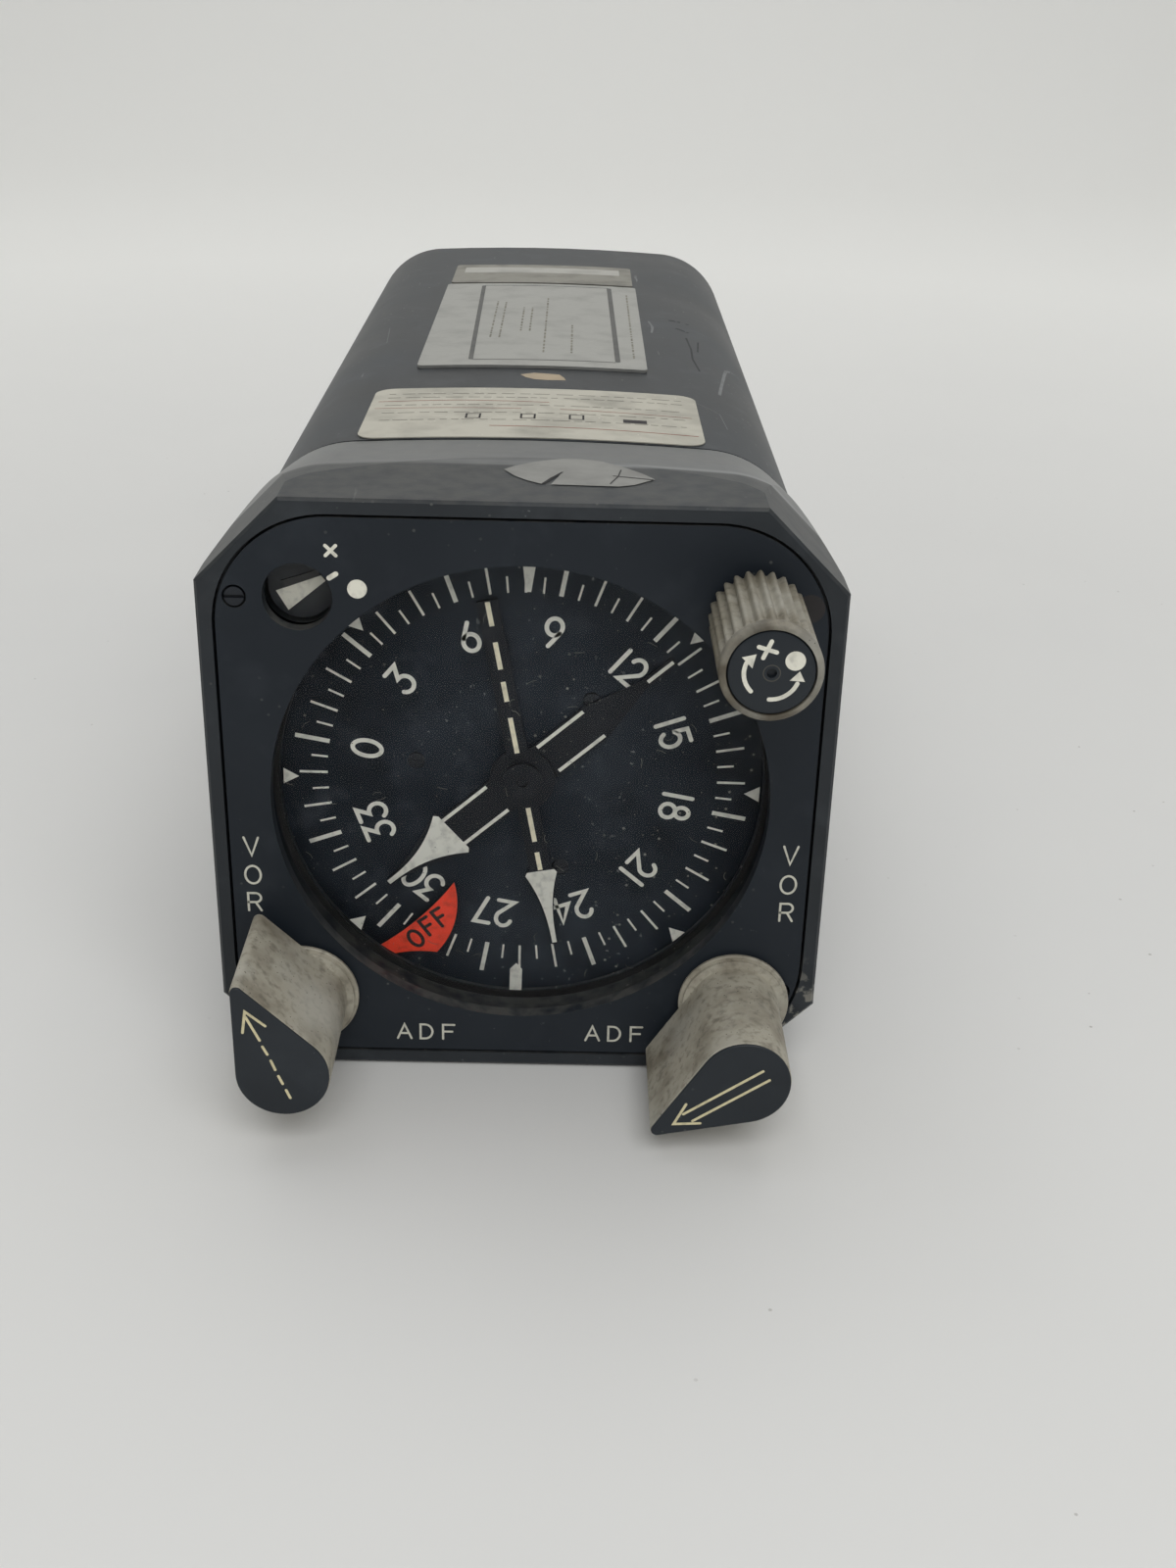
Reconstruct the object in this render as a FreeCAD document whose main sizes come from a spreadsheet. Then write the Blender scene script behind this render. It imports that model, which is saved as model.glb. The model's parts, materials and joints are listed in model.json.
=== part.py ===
import FreeCAD, Part
import math
import operator
import os
from types import SimpleNamespace
import Sketcher
from FreeCAD import Placement, Rotation, Vector

# Driving sizes, in millimetres and degrees.
# Across the object X runs to the right, Y to the rear and Z up. In the rows below x and z are
# taken from the middle of the dial, and y from the front rim of the casting.
ROWS = [
    ("bezel_size", 82.8, "front casting across its flats"),
    ("bezel_chamfer", 11.0, "flat on each corner of the front casting"),
    ("rim_bevel", 0.4, "broken edge round the front rim"),
    ("rim_width", 2.0, "rim round the face plate pocket"),
    ("seam_y", 35.2, "rear end of the front casting"),
    ("seam_gap", 0.5, "room for the seam gasket"),
    ("case_step", 1.3, "case behind the flats of the casting"),
    ("case_crown", 422.0, "radius of the slightly bulged case sides"),
    ("case_corner", 15.15, "corner radius of the case"),
    ("case_wall", 1.0, "sheet of the case"),
    ("case_length", 173.8, "case behind the seam gasket"),
    ("case_edge", 1.6, "rounding of the rear edge of the case"),
    ("rear_wall", 1.2, "rear wall of the case"),
    ("casting_draft", 5.3, "draft of the front casting"),
    ("bay_wall", 2.7, "wall of the casting at the seam"),
    ("knob_reach", 20.6, "front of the selector knobs before the rim"),
    ("plate_corner", 15.0, "corner radius of the face plate pocket"),
    ("plate_gap", 0.4, "groove round the face plate"),
    ("plate_depth", 2.2, "depth of the face plate pocket"),
    ("plate_inset", 0.1, "face plate behind the rim"),
    ("window_margin", 8.2, "window edge from the flats of the casting"),
    ("lip_step", 0.3, "lip inside the window edge"),
    ("glass_step", 0.8, "glass beyond the window edge"),
    ("card_step", 0.7, "card beyond the window edge"),
    ("cavity_step", 2.8, "round room beyond the window edge"),
    ("glass_thick", 4.5, "thickness of the glass"),
    ("gasket_thick", 0.3, "gasket behind the glass"),
    ("lip_thick", 0.6, "lip behind the gasket"),
    ("ledge_y", 13.0, "ledge for the front frame plate"),
    ("seat_gap", 0.3, "gap round fixed pieces"),
    ("run_gap", 0.05, "gap round turning pieces"),
    ("grip_gap", 0.02, "gap between pieces that turn together"),
    ("knob_side", 11.4, "selector knobs from the side flats"),
    ("knob_foot", 11.7, "selector knobs from the lower flat"),
    ("sync_side", 11.8, "sync knob from the side flat"),
    ("sync_top", 13.7, "sync knob from the upper flat"),
    ("face_screw_side", 5.0, "face screws from the side flats"),
    ("face_screw_top", 13.0, "face screws from the upper and lower flat"),
    ("face_screw_head", 1.25, "head radius of a face screw"),
    ("frame_screw_side", 6.1, "frame screws from the side flats"),
    ("frame_screw_z", 14.0, "frame screws above and below the middle"),
    ("bushing_radius", 3.0, "shaft bushing"),
    ("bushing_flange", 4.4, "flange of the shaft bushing"),
    ("knob_shaft", 1.5, "radius of the knob shafts"),
    ("shaft_front", 13.5, "front end of the knob shafts before the rim"),
    ("flange_radius", 7.7, "round foot of the selector knobs"),
    ("flange_rear", 0.5, "rear of that foot before the rim"),
    ("flange_thick", 1.4, "thickness of that foot"),
    ("flange_step", 0.5, "step round that foot"),
    ("drop_radius", 6.17, "round end of the drop-shaped knob"),
    ("drop_tip", 0.9, "tip radius of the drop"),
    ("drop_length", 13.41, "round end to tip, centre to centre"),
    ("left_turn", 23.3, "left knob points this far to the left of up"),
    ("right_turn", 124.2, "right knob points this far to the left of up"),
    ("knob_face", 0.35, "black plate on the selector knobs"),
    ("sync_radius", 6.2, "sync knob"),
    ("sync_front", 20.3, "front of the sync knob before the rim"),
    ("sync_rear", 1.0, "rear of the sync knob before the rim"),
    ("flutes", 24, "grooves round the sync knob"),
    ("flute_radius", 0.42, "radius of one groove"),
    ("flute_end", 1.3, "plain collar in front of the grooves"),
    ("sync_face", 5.3, "black disc in the sync knob"),
    ("sync_face_depth", 0.8, "depth of that disc"),
    ("sync_dimple", 0.6, "hole in the middle of that disc"),
    ("flag_pivot_side", 17.4, "flag spindle from the side flat"),
    ("flag_pivot_foot", 12.9, "flag spindle from the lower flat"),
    ("flag_gap", 0.15, "flag behind the lip"),
    ("flag_thick", 0.2, "sheet of the flag"),
    ("flag_sweep", 20.0, "radius swept by the flag"),
    ("flag_hub", 1.9, "round hub end of the flag"),
    ("small_spindle", 0.5, "spindles of the flag and the annunciator"),
    ("spindle_reach", 2.8, "those spindles into their movements"),
    ("signal_side", 12.95, "annunciator from the side flat"),
    ("signal_top", 12.9, "annunciator from the upper flat"),
    ("signal_window", 4.45, "annunciator opening in the face plate"),
    ("signal_glass", 4.9, "annunciator glass"),
    ("signal_glass_thick", 1.15, "thickness of the annunciator glass"),
    ("signal_room", 4.6, "room for the annunciator pointer"),
    ("signal_depth", 2.6, "depth of that room"),
    ("signal_gap", 0.75, "annunciator pointer behind its glass"),
    ("movement_radius", 3.2, "flag and annunciator movements"),
    ("movement_length", 7.0, "flag movement"),
    ("pointer_gap", 0.2, "gap from flag to first pointer"),
    ("pointer_space", 0.15, "gap from first to second pointer"),
    ("pointer_thick", 0.25, "sheet of the pointers"),
    ("pointer_margin", 6.9, "pointer tips inside the window edge"),
    ("pointer_half", 1.45, "half width of the first pointer"),
    ("pointer_2_half", 2.75, "half width of the second pointer"),
    ("pointer_disc", 4.5, "hub disc of the pointers"),
    ("pointer_boss", 2.66, "boss of the first pointer"),
    ("card_gap", 0.3, "gap from second pointer to card"),
    ("card_thick", 1.0, "compass card"),
    ("card_screw_circle", 14.8, "circle of the card screws"),
    ("card_screw_head", 1.1, "head radius of a card screw"),
    ("hub_flange", 17.0, "flange of the card hub"),
    ("hub_thick", 1.2, "thickness of that flange"),
    ("hub_radius", 3.0, "tube of the card hub"),
    ("hub_length", 13.7, "whole card hub"),
    ("sleeve_radius", 1.6, "sleeve of the second pointer"),
    ("spindle_radius", 0.8, "shaft of the first pointer"),
    ("bearing_radius", 6.0, "card bearing"),
    ("bearing_lip", 1.5, "rim of the card bearing"),
    ("plate_thick", 2.5, "front frame plate"),
    ("gear_teeth", 40, "teeth of the equal gears"),
    ("pinion_teeth", 28, "teeth of the servo pinion"),
    ("gear_play", 0.15, "extra width of each tooth gap"),
    ("gear_width", 2.0, "gears"),
    ("gear_clear", 2.5, "card gears behind the front frame plate"),
    ("gear_space", 6.0, "pointer gears behind the card gears"),
    ("motor_gap", 0.7, "room between the servo motor and the first pointer synchro"),
    ("motor_rim", 0.8, "mounting rim beyond the can of a synchro"),
    ("motor_shaft", 1.2, "shaft of a synchro"),
    ("synchro_length", 32.0, "synchro can"),
    ("servo_length", 37.0, "servo motor can"),
    ("cap_thick", 1.5, "rims and end caps of the motors"),
    ("motor_clear", 3.0, "motors behind their gears"),
    ("shaft_reach", 6.0, "motor shafts into the cans"),
    ("middle_y", 38.0, "front of the middle frame plate"),
    ("middle_thick", 3.0, "middle frame plate"),
    ("rear_plate_y", 82.0, "front of the rear frame plate"),
    ("rear_thick", 2.0, "rear frame plate"),
    ("post_x", 11.0, "frame posts beside the middle"),
    ("post_edge", 8.4, "frame posts from the upper and lower flat"),
    ("post_radius", 2.0, "frame post"),
    ("rear_post_radius", 2.5, "rear post"),
    ("screw_radius", 0.8, "shank of the small screws"),
    ("head_height", 1.2, "head of a small screw"),
    ("screw_reach", 3.8, "small screws into what they hold"),
    ("switch_length", 20.0, "selector switches and sync transmitter"),
    ("switch_neck", 2.6, "neck of a selector switch"),
    ("switch_radius", 5.2, "can of a selector switch"),
    ("transmitter_radius", 6.0, "sync transmitter"),
    ("lamp_radius", 0.85, "lamp"),
    ("cable_hole", 5.0, "cable holes in the rear frame plate"),
    ("board_edge", 9.4, "boards from the side flats"),
    ("board_thick", 1.6, "boards"),
    ("board_space", 8.0, "boards behind the rear frame plate"),
    ("board_length", 96.0, "length of the boards"),
    ("core_width", 28.0, "transformer core"),
    ("core_length", 34.0, "transformer core along the case"),
    ("core_height", 22.0, "transformer core above the board"),
    ("coil_reach", 5.0, "winding beyond the core"),
    ("shell_radius", 15.9, "connector shell"),
    ("shell_wall", 1.6, "wall of the connector shell"),
    ("shell_length", 14.5, "connector shell behind the case"),
    ("connector_flange", 19.0, "half width of the connector flange"),
    ("connector_rim", 1.6, "thickness of the connector flange"),
    ("insert_depth", 8.0, "connector insert behind the mouth"),
    ("pin_radius", 0.5, "connector pin"),
    ("pin_length", 3.2, "pins beyond the insert"),
    ("pin_pitch", 4.4, "distance between the rings of pins"),
    ("label_thick", 0.5, "metal label on the case"),
    ("paper_thick", 0.15, "paper sticker"),
    ("glue_gap", 0.05, "gap below labels"),
    ("label_width", 38.0, "data plate across the case"),
    ("label_offset", 1.0, "data plate left of the middle"),
    ("label_front", 46.3, "data plate behind the seam"),
    ("label_length", 76.5, "data plate along the case"),
    ("strip_space", 1.5, "second plate behind the data plate"),
    ("strip_length", 21.5, "second plate along the case"),
    ("sticker_width", 49.8, "sticker across the case"),
    ("sticker_front", 1.0, "sticker behind the seam"),
    ("sticker_length", 30.3, "sticker along the case"),
    ("seal_x", 6.9, "seal right of the middle"),
    ("seal_y", 18.5, "widest line of the seal behind the rim"),
    ("seal_half", 10.0, "half width of the seal"),
    ("seal_arc", 9.2, "arcs of the oval seal"),
    ("seal_rise", 8.2, "seal behind its widest line"),
    ("seal_drop", 7.5, "straight seal edge before its widest line"),
    ("seal_edge", 9.1, "length of the straight seal edge"),
]

OPERATIONS = {"+": operator.add, "-": operator.sub, "*": operator.mul, "/": operator.truediv}


class Size:
    """A length or angle: its number, and the formula on the sheet that gives it."""

    def __init__(self, value, text):
        self.value = value
        self.text = text

    def __add__(self, other):
        return joined(self, "+", other)

    def __radd__(self, other):
        return joined(other, "+", self)

    def __sub__(self, other):
        return joined(self, "-", other)

    def __rsub__(self, other):
        return joined(other, "-", self)

    def __mul__(self, other):
        return joined(self, "*", other)

    def __rmul__(self, other):
        return joined(other, "*", self)

    def __truediv__(self, other):
        return joined(self, "/", other)

    def __rtruediv__(self, other):
        return joined(other, "/", self)

    def __neg__(self):
        return joined(0, "-", self)


def as_size(number):
    if isinstance(number, Size):
        return number
    return Size(float(number), "%.9g" % number)


def joined(first, sign, second):
    first = as_size(first)
    second = as_size(second)
    value = OPERATIONS[sign](first.value, second.value)
    return Size(value, "(%s %s %s)" % (first.text, sign, second.text))


def formula(name, length):
    """Square root, sine, cosine or tangent; angles are degrees."""
    length = as_size(length)
    if name == "sqrt":
        value = math.sqrt(length.value)
    else:
        value = getattr(math, name)(math.radians(length.value))
    return Size(value, "%s(%s)" % (name, length.text))


doc = FreeCAD.newDocument("compass_indicator")


def driving_sheet():
    """Write the rows to a sheet and return each of them as a Size."""
    sheet = doc.addObject("Spreadsheet::Sheet", "Sizes")
    found = SimpleNamespace()
    for number, (alias, value, note) in enumerate(ROWS, start=1):
        sheet.set("A%d" % number, alias)
        sheet.set("B%d" % number, "%.9g" % value)
        sheet.set("C%d" % number, note)
        sheet.setAlias("B%d" % number, alias)
        setattr(found, alias, Size(float(value), "Sizes." + alias))
    doc.recompute()
    return found


d = driving_sheet()


# Places that follow from the driving sizes
middle_z = d.bezel_size / 2
case_half = middle_z - d.case_step
case_front = d.seam_y + d.seam_gap
case_rear = case_front + d.case_length
rear_end = case_rear + d.shell_length
face_y = (d.knob_reach - rear_end) / 2
plate_pocket = middle_z - d.rim_width
bay_half = case_half - d.bay_wall
bay_corner = d.case_corner - d.bay_wall
window_radius = middle_z - d.window_margin
lip_radius = window_radius - d.lip_step
glass_radius = window_radius + d.glass_step
card_radius = window_radius + d.card_step
cavity_radius = window_radius + d.cavity_step
glass_front = d.plate_depth + d.plate_inset
glass_rear = glass_front + d.glass_thick
lip_front = glass_rear + d.glue_gap + d.gasket_thick + d.glue_gap
cavity_front = lip_front + d.lip_thick
flag_y = cavity_front + d.flag_gap
pointer_1_y = flag_y + d.flag_thick + d.pointer_gap
pointer_2_y = pointer_1_y + d.pointer_thick + d.pointer_space
card_y = pointer_2_y + d.pointer_thick + d.card_gap
hub_front = card_y + d.card_thick
plate_rear = d.ledge_y + d.plate_thick
card_gear_y = plate_rear + d.gear_clear
pointer_gear_y = card_gear_y + d.gear_width + d.gear_space
early_motor_y = card_gear_y + d.gear_width + d.motor_clear
late_motor_y = pointer_gear_y + d.gear_width + d.motor_clear
middle_rear = d.middle_y + d.middle_thick
rear_plate_end = d.rear_plate_y + d.rear_thick
gear_module = middle_z / 69
motor_radius = ((d.gear_teeth + d.pinion_teeth) * gear_module / 2 - d.motor_gap - d.motor_rim) / 2
motor_flange = motor_radius + d.motor_rim
knob_x = middle_z - d.knob_side
knob_z = middle_z - d.knob_foot
sync_x = middle_z - d.sync_side
sync_z = middle_z - d.sync_top
flag_pivot_x = middle_z - d.flag_pivot_side
flag_pivot_z = middle_z - d.flag_pivot_foot
signal_x = middle_z - d.signal_side
signal_z = middle_z - d.signal_top
post_z = middle_z - d.post_edge
small_play = d.seat_gap / 2
screw_hole = d.screw_radius + d.seat_gap
spindle_hole = 2 * d.small_spindle
movement_hole = d.movement_radius + d.seat_gap
bushing_hole = d.bushing_radius + d.seat_gap
shaft_hole = d.knob_shaft + d.run_gap
shaft_rear = plate_rear + 0.6 * d.switch_length
face_screw_seat = d.plate_inset + d.head_height
face_screw_end = d.plate_depth + d.screw_reach
frame_screw_end = d.ledge_y - d.screw_reach
signal_glass_rear = d.plate_depth + d.glue_gap + d.signal_glass_thick
signal_floor = signal_glass_rear + d.signal_depth
signal_y = signal_glass_rear + d.signal_gap
pointer_reach = window_radius - d.pointer_margin
connector_inner = d.shell_radius - d.shell_wall
board_half = middle_z - d.board_edge
board_y = rear_plate_end + d.board_space
board_rear = board_y + d.board_length
board_outer = post_z - d.rear_post_radius - d.seat_gap


# Small helpers
def bind(thing, name, length):
    length = as_size(length)
    thing.setExpression(name, length.text)


def place(thing, x, y, z):
    """Put a thing at x, z from the dial middle and y from the rim."""
    bind(thing, ".Placement.Base.x", x)
    bind(thing, ".Placement.Base.y", y + face_y)
    bind(thing, ".Placement.Base.z", z + middle_z)


def rod(label, radius, front, rear, x=0, z=0):
    """Round bar along Y."""
    bar = doc.addObject("Part::Cylinder", label)
    bar.Placement = Placement(Vector(), Rotation(Vector(1, 0, 0), -90))
    bind(bar, "Radius", radius)
    bind(bar, "Height", rear - as_size(front))
    place(bar, x, front, z)
    return bar


def block(label, across, along, up):
    """Box from pairs of low and high values on X, Y and Z."""
    box = doc.addObject("Part::Box", label)
    for name, (low, high) in zip(("Length", "Width", "Height"), (across, along, up)):
        bind(box, name, high - as_size(low))
    place(box, across[0], along[0], up[0])
    return box


def union(label, things):
    joint = doc.addObject("Part::MultiFuse", label)
    joint.Shapes = things
    return joint


def overlap(label, first, second):
    common = doc.addObject("Part::Common", label)
    common.Base = first
    common.Tool = second
    return common


def cut(label, base, tools):
    """Take every tool away from the base."""
    result = doc.addObject("Part::Cut", label)
    result.Base = base
    result.Tool = tools[0] if len(tools) == 1 else union(label + "_tools", tools)
    return result


def group(label, things):
    """Separate solids that share one node."""
    together = doc.addObject("Part::Compound", label)
    together.Links = things
    return together


def ring(label, outer, inner, front, rear, x=0, z=0):
    return cut(label, rod(label + "_outside", outer, front, rear, x, z),
               [rod(label + "_hole", inner, front, rear, x, z)])


def new_body(label, x, y, z, left_turn=None):
    """Empty body whose sketches on XZ_Plane face forward; left_turn turns it about its own axis."""
    body = doc.addObject("PartDesign::Body", label)
    if left_turn is not None:
        body.Placement = Placement(Vector(), Rotation(Vector(0, -1, 0), as_size(left_turn).value))
        bind(body, ".Placement.Rotation.Angle", left_turn)
    place(body, x, y, z)
    return body


def new_sketch(body, role="XZ_Plane", lift=None):
    sketch = body.newObject("Sketcher::SketchObject", body.Name + "_sketch")
    plane = [item for item in body.Origin.OriginFeatures if item.Role == role][0]
    sketch.AttachmentSupport = (plane, [""])
    sketch.MapMode = "FlatFace"
    if lift is not None:
        bind(sketch, ".AttachmentOffset.Base.z", lift)
    return sketch


def pin_point(sketch, index, point, x, z):
    """Hold one sketch point at bound distances from the sketch origin."""
    for kind, length in (("DistanceX", as_size(x)), ("DistanceY", as_size(z))):
        number = sketch.addConstraint(Sketcher.Constraint(kind, -1, 1, index, point, length.value))
        bind(sketch, "Constraints[%d]" % number, length)


def circle(sketch, radius, x=0, z=0):
    middle = Vector(as_size(x).value, as_size(z).value)
    radius = as_size(radius)
    index = sketch.addGeometry(Part.Circle(middle, Vector(0, 0, 1), radius.value))
    number = sketch.addConstraint(Sketcher.Constraint("Radius", index, radius.value))
    bind(sketch, "Constraints[%d]" % number, radius)
    pin_point(sketch, index, 3, x, z)


def outline(sketch, corners):
    """Closed outline. A third entry makes the way to the next corner an arc of that radius,
    a plus sign bulging to the right of the way and a minus sign to the left."""
    points = [Vector(as_size(c[0]).value, as_size(c[1]).value) for c in corners]
    last_points = []
    for index, corner in enumerate(corners):
        start = points[index]
        end = points[(index + 1) % len(points)]
        if len(corner) == 3:
            radius = as_size(corner[2]).value
            half = (end - start) / 2
            rise = abs(radius) - math.sqrt(radius ** 2 - half.Length ** 2)
            side = Vector(half.y, -half.x).normalize() * math.copysign(rise, radius)
            first, last = (start, end) if radius > 0 else (end, start)
            sketch.addGeometry(Part.Arc(first, start + half + side, last))
        else:
            sketch.addGeometry(Part.LineSegment(start, end))
        last_points.append(2 if (sketch.Geometry[index].EndPoint - end).Length < 1e-6 else 1)
    for index, corner in enumerate(corners):
        follower = (index + 1) % len(corners)
        follower_start = 3 - last_points[follower]
        sketch.addConstraint(Sketcher.Constraint(
            "Coincident", index, last_points[index], follower, follower_start))
        pin_point(sketch, follower, follower_start, *corners[follower][:2])
    for index, corner in enumerate(corners):
        if len(corner) == 3:
            radius = as_size(corner[2])
            if radius.value < 0:
                radius = -radius
            number = sketch.addConstraint(Sketcher.Constraint("Radius", index, radius.value))
            bind(sketch, "Constraints[%d]" % number, radius)


def pad(body, sketch, length):
    """Grow a sketch forward, or up for a sketch on XY_Plane."""
    feature = body.newObject("PartDesign::Pad", body.Name + "_pad")
    feature.Profile = sketch
    bind(feature, "Length", length)
    doc.recompute()
    return feature


def pocket(body, sketch, length, forward=False):
    """Cut a sketch backwards, or forward where asked."""
    feature = body.newObject("PartDesign::Pocket", body.Name + "_pocket")
    feature.Profile = sketch
    bind(feature, "Length", length)
    feature.Reversed = forward
    doc.recompute()
    return feature


def repeat(body, feature, number):
    """Turn a pocket round the Y axis of the body."""
    pattern = body.newObject("PartDesign::PolarPattern", body.Name + "_pattern")
    pattern.Originals = [feature]
    axis = [item for item in body.Origin.OriginFeatures if item.Role == "Y_Axis"][0]
    pattern.Axis = (axis, [""])
    pattern.Angle = 360
    bind(pattern, "Occurrences", number)
    body.Tip = pattern
    doc.recompute()


def long_edges(feature, axis):
    """Names of the edges that run through the whole length of a pad."""
    names = []
    for number, edge in enumerate(feature.Shape.Edges, start=1):
        ends = [getattr(vertex.Point, axis) for vertex in edge.Vertexes]
        if abs(ends[0] - ends[-1]) > 0.5 * getattr(feature.Shape.BoundBox, axis.upper() + "Length"):
            names.append("Edge%d" % number)
    return names


def soften(body, feature, radius, kind="Fillet", axis="y"):
    """Round or chamfer the long edges of a pad."""
    edges = long_edges(feature, axis)
    softer = body.newObject("PartDesign::" + kind, body.Name + "_corners")
    softer.Base = (feature, edges)
    bind(softer, "Radius" if kind == "Fillet" else "Size", radius)
    doc.recompute()


def break_end(body, size, kind, rear):
    """Round or chamfer the edges round the front or rear end of a slab."""
    base = body.Tip
    levels = [vertex.Y for vertex in base.Shape.Vertexes]
    level = max(levels) if rear else min(levels)
    names = ["Edge%d" % number for number, edge in enumerate(base.Shape.Edges, start=1)
             if all(abs(vertex.Y - level) < 1e-6 for vertex in edge.Vertexes)]
    softer = body.newObject("PartDesign::" + kind, body.Name + "_end")
    softer.Base = (base, names)
    bind(softer, "Radius" if kind == "Fillet" else "Size", size)
    doc.recompute()


def square(half):
    return [(-half, -half), (half, -half), (half, half), (-half, half)]


def square_slab(label, half, corner, front, rear, kind="Fillet"):
    """Square slab along Y with round or chamfered corners."""
    body = new_body(label, 0, as_size(rear), 0)
    sketch = new_sketch(body)
    outline(sketch, square(half))
    soften(body, pad(body, sketch, rear - as_size(front)), corner, kind)
    return body


def crowned_slab(label, half, corner, front, rear, draft=None):
    """Slab with bulged sides; with a draft it grows towards the front."""
    body = new_body(label, 0, as_size(rear), 0)
    sketch = new_sketch(body)
    crown = d.case_crown
    hollow = half - crown
    tip = (hollow + formula("sqrt", 2 * crown * crown - hollow * hollow)) / 2
    outline(sketch, [corner_point + (crown,) for corner_point in square(tip)])
    feature = pad(body, sketch, rear - as_size(front))
    if draft is not None:
        bind(feature, "TaperAngle", draft)
        doc.recompute()
    soften(body, feature, corner)
    return body


def plan_prism(label, corners, corner_radius=None):
    """Upright prism from an outline seen from above, tall enough for any label on the case."""
    body = new_body(label, 0, 0, case_half / 2)
    sketch = new_sketch(body, "XY_Plane")
    outline(sketch, corners)
    feature = pad(body, sketch, case_half)
    if corner_radius is not None:
        soften(body, feature, corner_radius, axis="z")
    return body


def spots(offsets):
    """Number the places of repeated pieces."""
    return list(enumerate(offsets, start=1))


def four(x, z):
    return [(x, z), (-x, z), (-x, -z), (x, -z)]


def on_circle(radius, angles):
    """Places on a circle, angles clockwise from the top as seen from the front."""
    return [(radius * formula("sin", angle), radius * formula("cos", angle)) for angle in angles]


# Front casting
MIDDLE = (as_size(0), as_size(0))
KNOB_PLACES = [(-knob_x, -knob_z), (knob_x, -knob_z), (sync_x, sync_z)]
SIGNAL_PLACE = (-signal_x, signal_z)
FLAG_PLACE = (-flag_pivot_x, -flag_pivot_z)
FACE_SCREWS = four(middle_z - d.face_screw_side, middle_z - d.face_screw_top)
FRAME_SCREWS = four(middle_z - d.frame_screw_side, d.frame_screw_z)
POSTS = four(d.post_x, post_z)
CONNECTOR_SCREWS = four(d.connector_flange * 0.8, d.connector_flange * 0.8)


def casting_outside(label, grow):
    """Octagon rim with a broken front edge, running into the drafted, bulged body."""
    rim = square_slab(label + "_rim", middle_z + grow, d.bezel_chamfer, 0, d.seam_y, "Chamfer")
    break_end(rim, d.rim_bevel, "Chamfer", rear=False)
    case = crowned_slab(label + "_case", case_half + grow, d.case_corner,
                        0, d.seam_y, d.casting_draft)
    return overlap(label, rim, case)


def front_casting():
    outside = casting_outside("casting_outside", as_size(0))
    rooms = [
        square_slab("plate_pocket_room", plate_pocket, d.plate_corner, 0, d.plate_depth),
        rod("glass_room", glass_radius + d.seat_gap, 0, lip_front),
        rod("lip_room", lip_radius, 0, d.ledge_y),
        rod("card_room", cavity_radius, cavity_front, d.ledge_y),
        square_slab("bay_room", bay_half, bay_corner, d.ledge_y, d.seam_y),
        rod("signal_glass_room", d.signal_glass + small_play, d.plate_depth, signal_glass_rear,
            *SIGNAL_PLACE),
        rod("signal_pointer_room", d.signal_room, d.plate_depth, signal_floor, *SIGNAL_PLACE),
        rod("signal_movement_room", movement_hole, d.plate_depth, d.ledge_y, *SIGNAL_PLACE),
        rod("flag_spindle_room", spindle_hole, cavity_front, d.ledge_y, *FLAG_PLACE),
        flag_room(),
    ]
    for number, (x, z) in spots(KNOB_PLACES):
        rooms.append(rod("bushing_room_%d" % number, bushing_hole, 0, d.ledge_y, x, z))
    for number, (x, z) in spots(FACE_SCREWS):
        rooms.append(rod("face_screw_room_%d" % number, screw_hole, 0,
                         face_screw_end + d.seat_gap, x, z))
    for number, (x, z) in spots(FRAME_SCREWS):
        rooms.append(rod("frame_screw_room_%d" % number, screw_hole,
                         frame_screw_end - d.seat_gap, d.ledge_y, x, z))
    return cut("front_casting", outside, rooms)


def flag_room():
    """Flat hollow behind the lip into which the flag swings out of view."""
    sweep = rod("flag_sweep_disc", d.flag_sweep, cavity_front,
                flag_y + d.flag_thick + d.seat_gap, *FLAG_PLACE)
    side = block("flag_sweep_side", (-flag_pivot_x - d.flag_hub - d.seat_gap, 0),
                 (0, d.ledge_y), (-flag_pivot_z - 0.55 * d.flag_sweep, 0))
    return overlap("flag_room", sweep, side)


# Face plate, screws, windows and seam
def face_plate():
    sheet = square_slab("face_sheet", plate_pocket - d.plate_gap, d.plate_corner - d.plate_gap,
                        d.plate_inset, d.plate_depth - d.plate_inset)
    holes = [
        rod("window_hole", window_radius, 0, d.plate_depth),
        rod("signal_hole", d.signal_window, 0, d.plate_depth, *SIGNAL_PLACE),
    ]
    for number, (x, z) in spots(KNOB_PLACES):
        holes.append(rod("bushing_hole_%d" % number, d.bushing_flange + d.seat_gap,
                         0, d.plate_depth, x, z))
    for number, (x, z) in spots(FACE_SCREWS):
        holes.append(rod("face_screw_head_hole_%d" % number, d.face_screw_head + d.seat_gap,
                         0, face_screw_seat, x, z))
        holes.append(rod("face_screw_hole_%d" % number, screw_hole, 0, d.plate_depth, x, z))
    return cut("face_plate", sheet, holes)


def screws(label, places, head_radius, head_height, seat, end):
    """Slotted screws along Y. The head stands on the side of its seat that the end is not on."""
    to_front = as_size(end).value > as_size(seat).value
    outer = seat - head_height if to_front else seat + head_height
    head_front, head_rear = (outer, seat) if to_front else (seat, outer)
    shank_front, shank_rear = (seat, end) if to_front else (end, seat)
    slot_depth = head_height / 3
    slot_half = head_radius / 6
    made = []
    for number, (x, z) in spots(places):
        name = "%s_%d" % (label, number)
        whole = union(name + "_whole", [
            rod(name + "_head", head_radius, head_front, head_rear, x, z),
            rod(name + "_shank", d.screw_radius, shank_front, shank_rear, x, z),
        ])
        slot = block(name + "_slot", (x - 2 * head_radius, x + 2 * head_radius),
                     (outer - slot_depth, outer + slot_depth), (z - slot_half, z + slot_half))
        made.append(cut(name, whole, [slot]))
    return group(label, made)


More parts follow.
